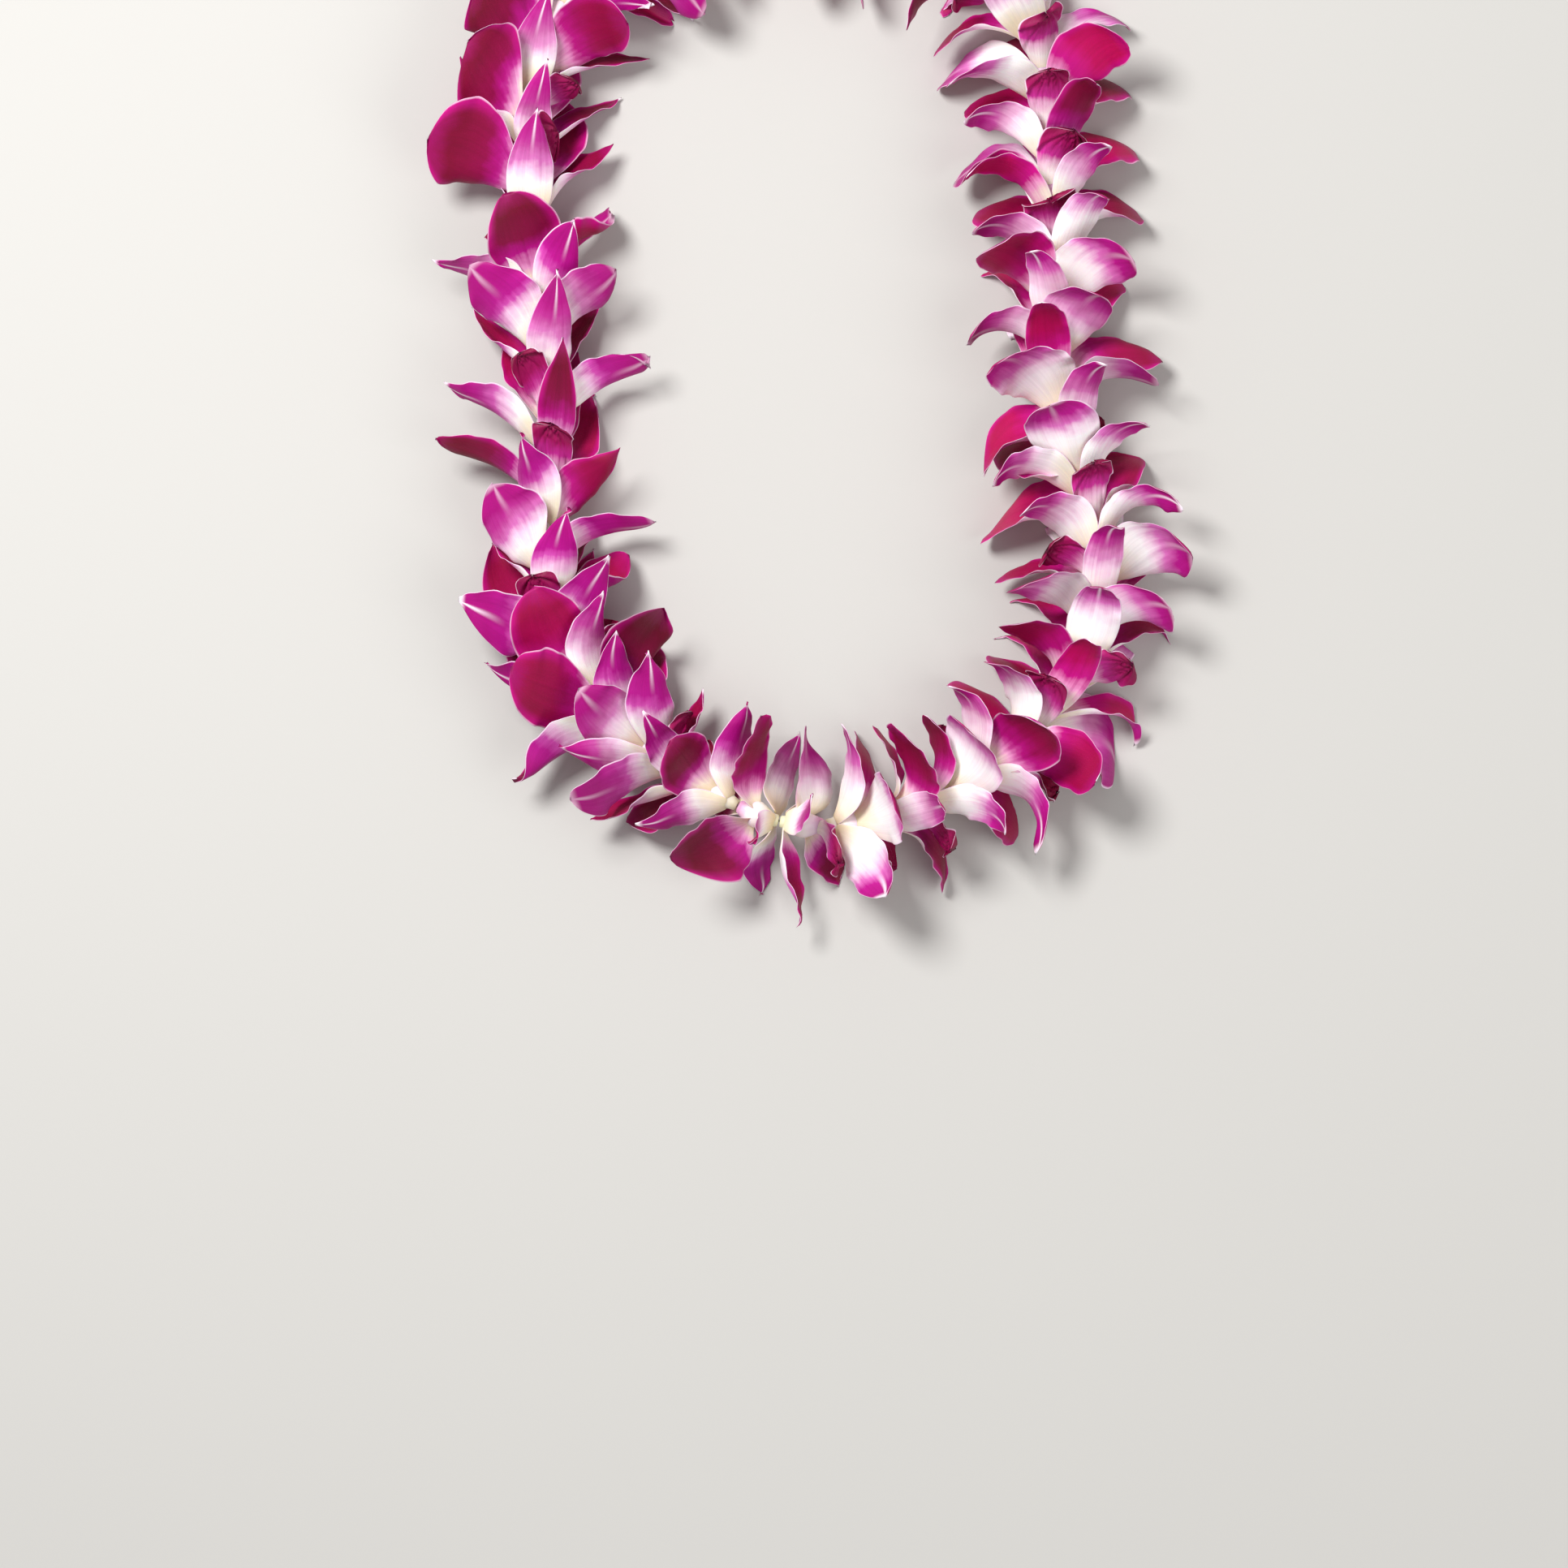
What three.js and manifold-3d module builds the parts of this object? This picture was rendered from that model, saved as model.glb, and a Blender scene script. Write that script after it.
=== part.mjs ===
// A single-strand lei of fresh dendrobium orchids, tied into a loop and laid flat.
// Each bloom is threaded through its throat and its ovary, so the blooms stack like cups
// on one cotton thread. The blooms of both sides open towards the back of the neck, where
// the thread is knotted. Millimetres, +Z up, the lei rests on z = 0.
import * as THREE from "three";
import { mergeVertices } from "three/addons/utils/BufferGeometryUtils.js";
import Module from "manifold-3d";

// ---- Driving dimensions, in millimetres and degrees ----

// The line of the thread, seen from above: from the front of the loop up the left side,
// over the back of the neck and down the right side.
const ROUTE = [
  [-9, -170], [-38, -156], [-67, -133], [-88, -106], [-95, -72], [-94, -36], [-96, 2],
  [-99, 40], [-101, 76], [-98, 110], [-83, 142], [-53, 164], [-10, 173], [35, 168],
  [68, 147], [86, 115], [91, 78], [93, 40], [92, 4], [98, -28], [107, -60], [107, -94],
  [93, -126], [64, -152], [27, -169],
];
const THREAD_HEIGHT = 21; // the weight of the lei presses its lower petals flat
const THREAD_RADIUS = 0.6;
const FLOOR_EASE = 3; // how softly a petal bends to the surface that the lei lies on
const BLADE_THICKNESS = 0.8;
const STACK_CLEARANCE = 1.7; // between a bloom and the next one in the stack
const CORE_GAP = 0.5; // between the end of an ovary and the column in front of it
const LONGEST_SHARE = 30; // of the thread that one bloom fills, where the stack has a gap

// distances: along the thread from the front of the loop to the middle of each bloom.
// uppermost: which side of each bloom is uppermost, as the place round the bloom that the
// organs below are given. lookingUp: the blooms, counted from 0, whose petals are spread
// flat with their inner faces up. narrow: width of the petals of the other blooms, which
// are folded in. lean: how steeply the stack leans forward above and below the thread.
// showing: how far the tepals turn their backs up, or their faces where it is negative.
// frontTurn: what the first bloom of the side adds to that. reflex: 1 where the outer ends of
// the tepals bend back. blunt: how much rounder the tips of the sepals are. size: of the
// blooms, beside the sizes of the organs that are given below.
const LEFT_SIDE = {
  facing: 1,
  lean: 0.9,
  narrow: 0.86,
  showing: { usual: 0.7, spread: 0.4 },
  frontTurn: 1.05,
  reflex: 0,
  blunt: 1,
  size: 1.07,
  distances: [
    9, 24, 39, 54, 69, 84, 104, 127, 154, 185, 208, 232, 270, 293, 314, 338, 367, 398, 430,
  ],
  uppermost: [
    99, 150, 200, 30, 66, 166, 295, 80, 250, 295, 85, 60, 231, 201, 95, 35, 90, 250, 310,
  ],
  lookingUp: [0, 1, 4, 5, 11, 12, 13, 14],
};
const RIGHT_SIDE = {
  facing: -1,
  lean: 0.72,
  narrow: 0.96,
  showing: { usual: 0, spread: 1.1 },
  frontTurn: -1.8,
  reflex: 1,
  blunt: 1.8,
  size: 1.1,
  distances: [
    9, 25, 42, 59, 77, 96, 115, 137, 158, 179, 200, 221, 242, 263, 284, 305, 326, 347, 374,
    402, 431,
  ],
  uppermost: [
    240, 150, 196, 30, 150, 270, 216, 100, 324, 270, 151, 60, 120, 90, 285, 265, 270, 255, 320,
    40, 110,
  ],
  lookingUp: [0, 2, 4],
};

// The surface that the blooms are pressed to as they stack, by how far forward it lies: a
// cup round the thread, which leans further forward above and below the thread, where the
// lei is flattened.
const CUP_DEPTH = 16;
const CUP_REACH = 20;
const LEAN_EASE = 4;
// The blooms at the ends of a side have room to open flatter: over how many blooms, and how
// flat the end one is.
const FRONT_OPENING = { blooms: 4, atEnd: 0.45 };
const BACK_OPENING = { blooms: 4, atEnd: 0.7 };
const FRONT_SPREAD = 0.75; // how far back the sepals of the very first bloom may spread
const FRONT_SIZE = { blooms: 4, atEnd: 0.84 }; // share of their size that the blooms there have
const REFLEX_DROP = 14; // how far the outer ends of a reflexed bloom bend back
const REFLEX_REACH = 36;

// The organs of a bloom. place: where round the thread. length, half: size. rise: where
// it leaves the throat. tilt: its angle to the cross-section at the root. bend: how much
// that angle changes to the tip. cup: how hollow it is across. root, swell, peak, round,
// point: its outline. layer: its share of the bloom's depth, as middle and half. ripple:
// height of the waves of its margins. hook: how far its tip curls forward.
const SEPAL = {
  kind: "sepal", length: 39.5, half: 8.4, rise: -2.5, tilt: 52, bend: -34, cup: 0.55,
  root: 0.42, swell: 1, peak: 0.42, round: 1.7, point: 1.05, rows: [0.28, 0.66], columns: 2,
  layer: { middle: -0.38, half: 0.6 }, ripple: 0.8, hook: 3,
};
const PETAL = {
  kind: "petal", length: 39, half: 14.5, rise: 0.5, tilt: 54, bend: -40, cup: 0.4,
  root: 0.2, swell: 1.25, peak: 0.56, round: 2.2, point: 1.7, rows: [0.25, 0.56, 0.86],
  columns: 2, layer: { middle: 0.28, half: 0.66 }, ripple: 1.2, hook: 1,
};
const LIP = {
  kind: "lip", length: 24, half: 8.5, rise: 1.5, tilt: 72, bend: -50, cup: 0.45, root: 0.42,
  swell: 1.3, peak: 0.86, round: 2.6, point: 2.6, rows: [0.3, 0.66, 0.93], columns: 3,
  layer: { middle: 0.45, half: 0.5 }, ripple: 1.1, hook: 0,
};
const ORGANS = [
  { name: "dorsal_sepal", place: 90, ...SEPAL },
  { name: "left_sepal", place: 216, ...SEPAL },
  { name: "right_sepal", place: -36, ...SEPAL },
  { name: "left_petal", place: 151, ...PETAL },
  { name: "right_petal", place: 29, ...PETAL },
  { name: "lip", place: 270, ...LIP },
];
const ROOT_REACH = 2.3; // from the thread to where a blade leaves the ovary wall
const TIP_HALF = 0.4;
const LIP_THROAT = 1.15; // how much tighter the lip closes round the column at its root
const LIP_THROAT_END = 0.6; // share of the lip's length where that ends
const RIPPLE_WAVES = 7; // how close the ripples of a margin are
const FOLDED_CUP = 1.7; // how much more hollow a petal is that is folded in
const TURNED_ABOVE = -0.2; // height round the bloom above which a flat petal is turned over
const SHOW_FROM = 12; // from the thread to where a blade has turned its face up

// How far the organs of a bloom stray from the type, as the most either way.
const ROLL_SPREAD = 8;
const SPREAD = {
  angle: 11, tilt: 15, bend: 28, twist: 36, sweep: 0.2, cup: 0.5, showing: 1.3, phase: 3,
  length: 0.12, width: 0.16, hook: 5,
};
const LIP_SHOWING = 0.2; // how far a lip turns its face up
const REFLEX_TILT = 6; // what a reflexed bloom adds to the tilt and takes off the bend
const REFLEX_BEND = 26;
const LEAST_BEND = -4;

// The ovary, the chin and the column, as one tube round the thread.
const CORE_SIDES = 5;
const BORE_RADIUS = 1.5;
const CORE_PROFILE = [ // share of the half-length, radius
  [-1, 2.4], [-0.1, 4.4], [1, 2.4],
];

// ---- The line of the thread ----

const SAMPLES_PER_SPAN = 24;

// A point of the closed curve through ROUTE, and its slope.
function routeAt(t) {
  const spans = ROUTE.length;
  const span = Math.floor(t);
  const f = t - span;
  const [a, b, c, d] = [-1, 0, 1, 2].map((k) => ROUTE[(span + k + 2 * spans) % spans]);
  const g = 1 - f;
  const weights = [-f * g * g, 2 - 5 * f * f + 3 * f ** 3, f + 4 * f * f - 3 * f ** 3, -f * f * g];
  const slopes = [-g * (1 - 3 * f), f * (9 * f - 10), 1 + 8 * f - 9 * f * f, f * (3 * f - 2)];
  const sum = (w, k) => 0.5 * (w[0] * a[k] + w[1] * b[k] + w[2] * c[k] + w[3] * d[k]);
  return { x: sum(weights, 0), y: sum(weights, 1), dx: sum(slopes, 0), dy: sum(slopes, 1) };
}

const lengths = [0];
for (let i = 1; i <= ROUTE.length * SAMPLES_PER_SPAN; i++) {
  const from = routeAt((i - 1) / SAMPLES_PER_SPAN);
  const to = routeAt(i / SAMPLES_PER_SPAN);
  lengths.push(lengths[i - 1] + Math.hypot(to.x - from.x, to.y - from.y));
}
const ROUTE_LENGTH = lengths.at(-1);

// The point and the outward normal of the line at a length along it.
function strandAt(along) {
  const s = ((along % ROUTE_LENGTH) + ROUTE_LENGTH) % ROUTE_LENGTH;
  let low = 0;
  let high = lengths.length - 1;
  while (high - low > 1) {
    const middle = (low + high) >> 1;
    if (lengths[middle] <= s) low = middle;
    else high = middle;
  }
  const share = (s - lengths[low]) / (lengths[high] - lengths[low]);
  const p = routeAt((low + share) / SAMPLES_PER_SPAN);
  const speed = Math.hypot(p.dx, p.dy);
  return { x: p.x, y: p.y, outX: -p.dy / speed, outY: p.dx / speed };
}

// From strand space (along the line, outwards, upwards) to the lei's own frame.
function place(along, out, up) {
  const s = strandAt(along);
  return new THREE.Vector3(s.x + out * s.outX, s.y + out * s.outY, THREAD_HEIGHT + up);
}

// ---- Blooms on the strand ----

const radians = THREE.MathUtils.degToRad;

// A number from -1 to 1 that is always the same for the same bloom, organ and trait.
function draw(bloom, organ, trait) {
  const wave = Math.sin(bloom * 127.1 + organ * 311.7 + trait * 74.7) * 43758.5453;
  return 2 * (wave - Math.floor(wave)) - 1;
}

const shortfall = ({ blooms, atEnd }, i) => (1 - atEnd) * (1 - Math.max(i, 0) / blooms);

// Where the blooms of one side sit, counted from the front of the loop.
function bloomsOfSide(side, first) {
  const { distances, uppermost, lookingUp } = side;
  const last = distances.length - 1;
  const share = (i) => {
    if (i < 0) return 2 * distances[0];
    const before = Math.min(i, last - 1);
    return Math.min(distances[before + 1] - distances[before], LONGEST_SHARE);
  };
  return distances.map((distance, i) => {
    const opened = (step) => Math.max(0, shortfall(FRONT_OPENING, i + step))
      + Math.max(0, shortfall(BACK_OPENING, last - i - step));
    return {
      number: first + i,
      ...side,
      lookingUp: lookingUp.includes(i),
      along: side.facing * distance,
      back: share(i - 1) / 2,
      front: share(i) / 2,
      roll: radians(90 - uppermost[i] + ROLL_SPREAD * draw(first + i, 0, 2)),
      depth: 1 - opened(0),
      spread: i === 0 ? FRONT_SPREAD : 0,
      turn: i === 0 ? side.frontTurn : 0,
      change: Math.max(Math.abs(opened(0) - opened(1)), Math.abs(opened(0) - opened(-1))),
      size: side.size * (1 - Math.max(0, shortfall(FRONT_SIZE, i))),
    };
  });
}

const BLOOMS = [
  ...bloomsOfSide(LEFT_SIDE, 1),
  ...bloomsOfSide(RIGHT_SIDE, 1 + LEFT_SIDE.distances.length),
];

const cup = (bloom, r) => CUP_DEPTH * (1 - Math.exp(-r / CUP_REACH))
  - REFLEX_DROP * bloom.reflex * (r / REFLEX_REACH) ** 3;
const stackSurface = (bloom, r, up) =>
  cup(bloom, r) + bloom.lean * (Math.hypot(up, LEAN_EASE) - LEAN_EASE);

// Keeps an organ inside its layer of its bloom's own share of the stack. standing: how far
// forward of the cup it would stand if it were free.
function nest(bloom, layer, r, up, standing) {
  const surface = stackSurface(bloom, r, up);
  const spare = (STACK_CLEARANCE + bloom.change * Math.abs(surface)) / 2;
  const back = bloom.back + bloom.spread * Math.max(0, surface);
  const middle = (bloom.front - back) / 2;
  const room = (bloom.front + back) / 2 - spare;
  const reach = room * layer.half;
  return bloom.depth * surface + middle + room * layer.middle + reach * Math.tanh(standing / reach);
}

// Flattens smoothly what would reach below the surface that the lei lies on.
function restOnFloor(height) {
  if (height > FLOOR_EASE) return height;
  return height < -FLOOR_EASE ? 0 : (height + FLOOR_EASE) ** 2 / (4 * FLOOR_EASE);
}

// From a bloom's own space to the lei's frame. lift: half the thickness of what lies there.
function placeInBloom(bloom, out, up, forward, lift) {
  const p = place(bloom.along + bloom.facing * forward, bloom.facing * out, up);
  p.z = lift + restOnFloor(p.z - lift);
  return p;
}

// ---- Petals, sepals and lips ----

function halfWidth(organ, blunt, u) {
  const { root, swell, peak, round, point, half } = organ;
  const opening = root + (1 - root) * Math.sin(Math.min(u / peak, 1) * Math.PI / 2) ** swell;
  const falling = Math.max(0, (u - peak) / (1 - peak)) ** round;
  const closing = Math.max(0, 1 - falling) ** (1 / (point * blunt));
  return Math.max(TIP_HALF, half * opening * closing);
}

// How one organ of one bloom differs from the type. Its length is set along its middle.
function habit(bloom, organ, index) {
  const vary = (trait, name) => SPREAD[name] * draw(bloom.number, index, trait);
  const lip = organ.kind === "lip";
  const reflex = lip ? 0 : bloom.reflex;
  const wanted = bloom.size * organ.length * (1 + vary(11, "length"));
  const own = {
    angle: radians(organ.place + vary(3, "angle")) + bloom.roll,
    tilt: radians(organ.tilt + vary(4, "tilt") + REFLEX_TILT * reflex),
    bend: radians(Math.min(organ.bend + vary(5, "bend") - REFLEX_BEND * reflex, LEAST_BEND)),
    twist: radians(vary(6, "twist")),
    sweep: vary(7, "sweep"),
    cup: organ.cup * (1 + vary(8, "cup")),
    showing: lip
      ? LIP_SHOWING
      : bloom.showing.usual + bloom.showing.spread * vary(9, "showing") + bloom.turn,
    width: bloom.size * (1 + vary(12, "width")),
    blunt: organ.kind === "sepal" ? bloom.blunt : 1,
    hook: (organ.hook + vary(13, "hook")) * (1 - 2 * reflex),
    phase: vary(10, "phase"),
    length: wanted,
  };
  if (organ.kind === "petal" && !bloom.lookingUp) {
    own.width *= bloom.narrow;
    own.cup *= FOLDED_CUP;
  } else if (organ.kind === "petal" && Math.sin(own.angle) > TURNED_ABOVE) {
    own.cup *= -1;
  }
  for (let round = 0; round < 3; round++) {
    own.length *= wanted / midlineLength(bloom, organ, own);
  }
  return own;
}

function midlineLength(bloom, organ, own) {
  const steps = 10;
  let length = 0;
  for (let i = 1; i <= steps; i++) {
    const from = bladePoint(bloom, organ, own, (i - 1) / steps, 0);
    length += bladePoint(bloom, organ, own, i / steps, 0).distanceTo(from);
  }
  return length;
}

// A point of the organ's middle surface: u from root to tip, v from -1 to 1 across.
function bladePoint(bloom, organ, own, u, v) {
  const slope = own.tilt + own.bend * u;
  const reach = ROOT_REACH + own.length / own.bend * (Math.sin(slope) - Math.sin(own.tilt));
  const rise = organ.rise - own.length / own.bend * (Math.cos(slope) - Math.cos(own.tilt));
  const half = halfWidth(organ, own.blunt, u) * own.width;
  const closed = organ.kind === "lip" ? Math.max(0, 1 - u / LIP_THROAT_END) : 0;
  const curl = own.cup + LIP_THROAT * closed;
  const side = half * Math.sin(curl * v) / curl + own.sweep * own.length * u * u;
  const wave = Math.sin(RIPPLE_WAVES * u + own.phase + (v > 0 ? 2 : 0));
  const ripple = organ.ripple * u * v ** 4 * wave;
  const lift = half * (1 - Math.cos(curl * v)) / curl + ripple;
  const turn = own.twist * u;
  const across = side * Math.cos(turn) - lift * Math.sin(turn);
  const inward = side * Math.sin(turn) + lift * Math.cos(turn);
  const radial = reach - inward * Math.sin(slope);
  const out = radial * Math.cos(own.angle) - across * Math.sin(own.angle);
  const up = radial * Math.sin(own.angle) + across * Math.cos(own.angle);
  const r = Math.hypot(out, up);
  const raised = up - reach * Math.sin(own.angle);
  const shown = own.showing * raised * Math.cos(own.angle) ** 2 * Math.min(1, r / SHOW_FROM);
  const hooked = own.hook * u ** 4;
  const standing = rise + inward * Math.cos(slope) + shown + hooked - cup(bloom, r);
  const forward = nest(bloom, organ.layer, r, up, standing);
  return placeInBloom(bloom, out, up, forward, BLADE_THICKNESS / 2);
}

// A closed blade of even thickness, pointed at its root and its tip. Both faces are split
// into triangles alike.
function bladeGeometry(point, rows, columns) {
  const step = 1e-3;
  const across = Array.from({ length: columns + 1 }, (_, j) => 2 * j / columns - 1);
  const grid = [[0, 0], ...rows.flatMap((u) => across.map((v) => [u, v])), [1, 0]];
  const corners = [1, -1].flatMap((face) => grid.map(([u, v]) => {
    const [back, ahead] = [Math.max(u, step) - step, Math.min(u, 1 - step) + step];
    const alongU = point(ahead, v).sub(point(back, v));
    const alongV = point(u, v + step).sub(point(u, v - step));
    const normal = alongU.cross(alongV).normalize();
    return point(u, v).addScaledVector(normal, face * BLADE_THICKNESS / 2);
  }));
  const under = grid.length;
  const tip = under - 1;
  const width = columns + 1;
  const corner = (row, column) => 1 + row * width + column;
  const triangles = [];
  const bothFaces = (a, b, c) => triangles.push(a, c, b, under + a, under + b, under + c);
  const rim = (a, b) => triangles.push(a, under + b, under + a, a, b, under + b);
  const last = rows.length - 1;
  for (let j = 0; j < columns; j++) {
    bothFaces(0, corner(0, j + 1), corner(0, j));
    bothFaces(tip, corner(last, j), corner(last, j + 1));
  }
  for (let i = 0; i < last; i++) {
    for (let j = 0; j < columns; j++) {
      const [a, b, c, d] = [corner(i, j), corner(i, j + 1), corner(i + 1, j + 1), corner(i + 1, j)];
      if (j < columns / 2) {
        bothFaces(a, b, d);
        bothFaces(b, c, d);
      } else {
        bothFaces(a, b, c);
        bothFaces(a, c, d);
      }
    }
    rim(corner(i + 1, 0), corner(i, 0));
    rim(corner(i, columns), corner(i + 1, columns));
  }
  rim(corner(0, 0), 0);
  rim(0, corner(0, columns));
  rim(tip, corner(last, 0));
  rim(corner(last, columns), tip);
  return new THREE.BufferGeometry().setFromPoints(corners).setIndex(triangles);
}

// ---- Ovary, chin and column ----

// A closed ring of profile points turned round the thread: the profile is a loop.
function coreGeometry(bloom) {
  const along = (share) => share * ((share > 0 ? bloom.front : bloom.back) - CORE_GAP / 2);
  const outside = CORE_PROFILE.map(([share, radius]) => new THREE.Vector2(radius, along(share)));
  const bore = [1, 0, -1].map((share) => new THREE.Vector2(BORE_RADIUS, along(share)));
  const ring = new THREE.LatheGeometry([...outside, ...bore, outside[0]], CORE_SIDES);
  const spots = ring.attributes.position;
  for (let i = 0; i < spots.count; i++) {
    const p = placeInBloom(bloom, spots.getX(i), -spots.getZ(i), spots.getY(i), 0);
    spots.setXYZ(i, p.x, p.y, p.z);
  }
  return ring;
}

// ---- Solids ----

const wasm = await Module();
wasm.setup();

function solidOf(geometry) {
  const bare = geometry.clone();
  bare.deleteAttribute("normal");
  bare.deleteAttribute("uv");
  const merged = mergeVertices(bare, 1e-4);
  return new wasm.Manifold(new wasm.Mesh({
    numProp: 3,
    vertProperties: merged.attributes.position.array,
    triVerts: new Uint32Array(merged.index.array),
  }));
}

function geometryOf(solid) {
  const mesh = solid.getMesh();
  return new THREE.BufferGeometry()
    .setAttribute("position", new THREE.BufferAttribute(mesh.vertProperties, 3))
    .setIndex(new THREE.BufferAttribute(mesh.triVerts, 1));
}

function bloomGeometry(bloom) {
  let solid = solidOf(coreGeometry(bloom));
  ORGANS.forEach((organ, index) => {
    const own = habit(bloom, organ, index + 1);
    const point = (u, v) => bladePoint(bloom, organ, own, u, v);
    solid = solid.add(solidOf(bladeGeometry(point, organ.rows, organ.columns)));
  });
  return geometryOf(solid);
}

// ---- The thread and its knot ----

const THREAD_SIDES = 5;
const THREAD_STEPS = 50;
const RING_RADIUS = 10; // of the ring before it is laid along the strand
const KNOT_RADIUS = 2.2;
const KNOT_LENGTH = 4.5;
const TAIL_LENGTH = 15;
const TAIL_SPLAY = 52; // degrees to each side
const TAIL_RISE = 28;

function threadGeometry() {
  const ring = new THREE.TorusGeometry(RING_RADIUS, THREAD_RADIUS, THREAD_SIDES, THREAD_STEPS);
  const spots = ring.attributes.position;
  for (let i = 0; i < spots.count; i++) {
    const [x, y, z] = [spots.getX(i), spots.getY(i), spots.getZ(i)];
    const along = -Math.atan2(y, x) / (2 * Math.PI) * ROUTE_LENGTH;
    const p = place(along, Math.hypot(x, y) - RING_RADIUS, z);
    spots.setXYZ(i, p.x, p.y, p.z);
  }
  let solid = solidOf(ring);
  const middle = ROUTE_LENGTH / 2;
  const knot = new THREE.IcosahedronGeometry(1, 1);
  knot.scale(KNOT_LENGTH, KNOT_RADIUS, KNOT_RADIUS);
  const atKnot = strandAt(middle);
  knot.rotateZ(Math.atan2(-atKnot.outX, atKnot.outY));
  knot.translate(atKnot.x, atKnot.y, THREAD_HEIGHT);
  solid = solid.add(solidOf(knot));
  for (const side of [-1, 1]) {
    const tail = new THREE.CylinderGeometry(THREAD_RADIUS, THREAD_RADIUS, TAIL_LENGTH, THREAD_SIDES);
    tail.translate(0, TAIL_LENGTH / 2, 0);
    tail.rotateZ(side * radians(TAIL_SPLAY));
    tail.rotateX(radians(TAIL_RISE));
    tail.translate(atKnot.x, atKnot.y, THREAD_HEIGHT);
    solid = solid.add(solidOf(tail));
  }
  return geometryOf(solid);
}

// ---- The lei ----

const THREAD_FINISH = new THREE.MeshStandardMaterial({ color: 0xf2efe6, roughness: 0.9 });
// The left side shows the deep fronts of the petals, the right side their paler backs.
const FRONTS_FINISH = new THREE.MeshStandardMaterial({ color: 0xb01c86, roughness: 0.5 });
const BACKS_FINISH = new THREE.MeshStandardMaterial({ color: 0xc45fa3, roughness: 0.5 });

const lei = new THREE.Group();
function addPiece(name, geometry, finish) {
  const mesh = new THREE.Mesh(geometry, finish);
  mesh.name = name;
  lei.add(mesh);
}
addPiece("thread", threadGeometry(), THREAD_FINISH);
for (const bloom of BLOOMS) {
  const number = String(bloom.number).padStart(2, "0");
  const finish = bloom.reflex ? BACKS_FINISH : FRONTS_FINISH;
  addPiece(`bloom_${number}`, bloomGeometry(bloom), finish);
}

// The origin is the middle of the lei's footprint, on the surface that it lies on.
const box = new THREE.Box3().setFromObject(lei);
const centre = box.getCenter(new THREE.Vector3());
lei.position.set(-centre.x, -centre.y, -box.min.z);

export default lei;
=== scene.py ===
# A single-strand lei of fresh dendrobium orchids, laid flat on a pale table and seen from
# straight above. The blooms are threaded through their throats on one knotted loop of
# cotton. Sizes are in millimetres until a mesh is made.
import math
from types import SimpleNamespace

import bpy
import numpy as np
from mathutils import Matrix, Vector


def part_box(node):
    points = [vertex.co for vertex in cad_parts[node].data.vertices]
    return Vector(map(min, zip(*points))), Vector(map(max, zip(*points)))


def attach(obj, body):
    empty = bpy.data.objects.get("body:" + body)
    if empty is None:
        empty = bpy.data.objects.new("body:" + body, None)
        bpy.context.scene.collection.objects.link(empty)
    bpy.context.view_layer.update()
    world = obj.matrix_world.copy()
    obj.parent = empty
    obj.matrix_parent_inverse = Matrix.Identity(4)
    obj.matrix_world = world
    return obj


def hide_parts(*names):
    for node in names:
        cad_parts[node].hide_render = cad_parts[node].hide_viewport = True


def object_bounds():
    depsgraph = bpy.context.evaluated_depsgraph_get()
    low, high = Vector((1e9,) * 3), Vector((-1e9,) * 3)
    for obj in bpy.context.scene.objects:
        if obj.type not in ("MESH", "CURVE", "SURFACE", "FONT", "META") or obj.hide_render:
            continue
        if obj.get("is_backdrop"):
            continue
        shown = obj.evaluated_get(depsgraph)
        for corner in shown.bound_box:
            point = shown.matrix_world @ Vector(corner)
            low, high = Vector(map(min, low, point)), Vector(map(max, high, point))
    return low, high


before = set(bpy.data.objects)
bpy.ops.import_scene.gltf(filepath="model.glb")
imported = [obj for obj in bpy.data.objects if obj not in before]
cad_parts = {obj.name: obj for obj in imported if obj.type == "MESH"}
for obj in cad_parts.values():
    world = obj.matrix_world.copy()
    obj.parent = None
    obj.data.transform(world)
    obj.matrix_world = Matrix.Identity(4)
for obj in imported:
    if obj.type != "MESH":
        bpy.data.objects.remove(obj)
cad_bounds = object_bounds()

# ---- The thread ----
# One length of white cotton, twisted from three plies, runs through every bloom of the lei.
# Its ends are tied at the back of the neck, in an overhand knot with two short tails.

MM = 0.001
ROUTE = [  # seen from above: front, up the left side, round the neck, down the right side
    (-9, -170), (-38, -156), (-67, -133), (-88, -106), (-95, -72), (-94, -36), (-96, 2),
    (-99, 40), (-101, 76), (-98, 110), (-83, 142), (-53, 164), (-10, 173), (35, 168),
    (68, 147), (86, 115), (91, 78), (93, 40), (92, 4), (98, -28), (107, -60), (107, -94),
    (93, -126), (64, -152), (27, -169),
]
THREAD_HEIGHT = 21  # above the table
THREAD_RADIUS = 0.6
THREAD_STEPS = 50  # of the thread's solid, which shows where the route lies in the frame
SAMPLES_PER_SPAN = 24
PLIES = 3
PLY_RADIUS = 0.29
PLY_SIDES = 7
TWIST = 5.0  # length of thread for one turn of the plies
THREAD_SAMPLE = 0.6  # length of thread between two rings of its mesh


def route_at(t):
    """Points and slopes of the closed curve through ROUTE, t spans from its start."""
    spans = len(ROUTE)
    span = np.floor(t).astype(int)
    f = (t - span)[..., None]
    g = 1 - f
    a, b, c, d = (np.array(ROUTE, float)[(span + k) % spans] for k in (-1, 0, 1, 2))
    point = -f * g * g * a + (2 - 5 * f**2 + 3 * f**3) * b
    point += (f + 4 * f**2 - 3 * f**3) * c - f * f * g * d
    slope = -g * (1 - 3 * f) * a + f * (9 * f - 10) * b
    slope += (1 + 8 * f - 9 * f**2) * c + f * (3 * f - 2) * d
    return point / 2, slope / 2


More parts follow.
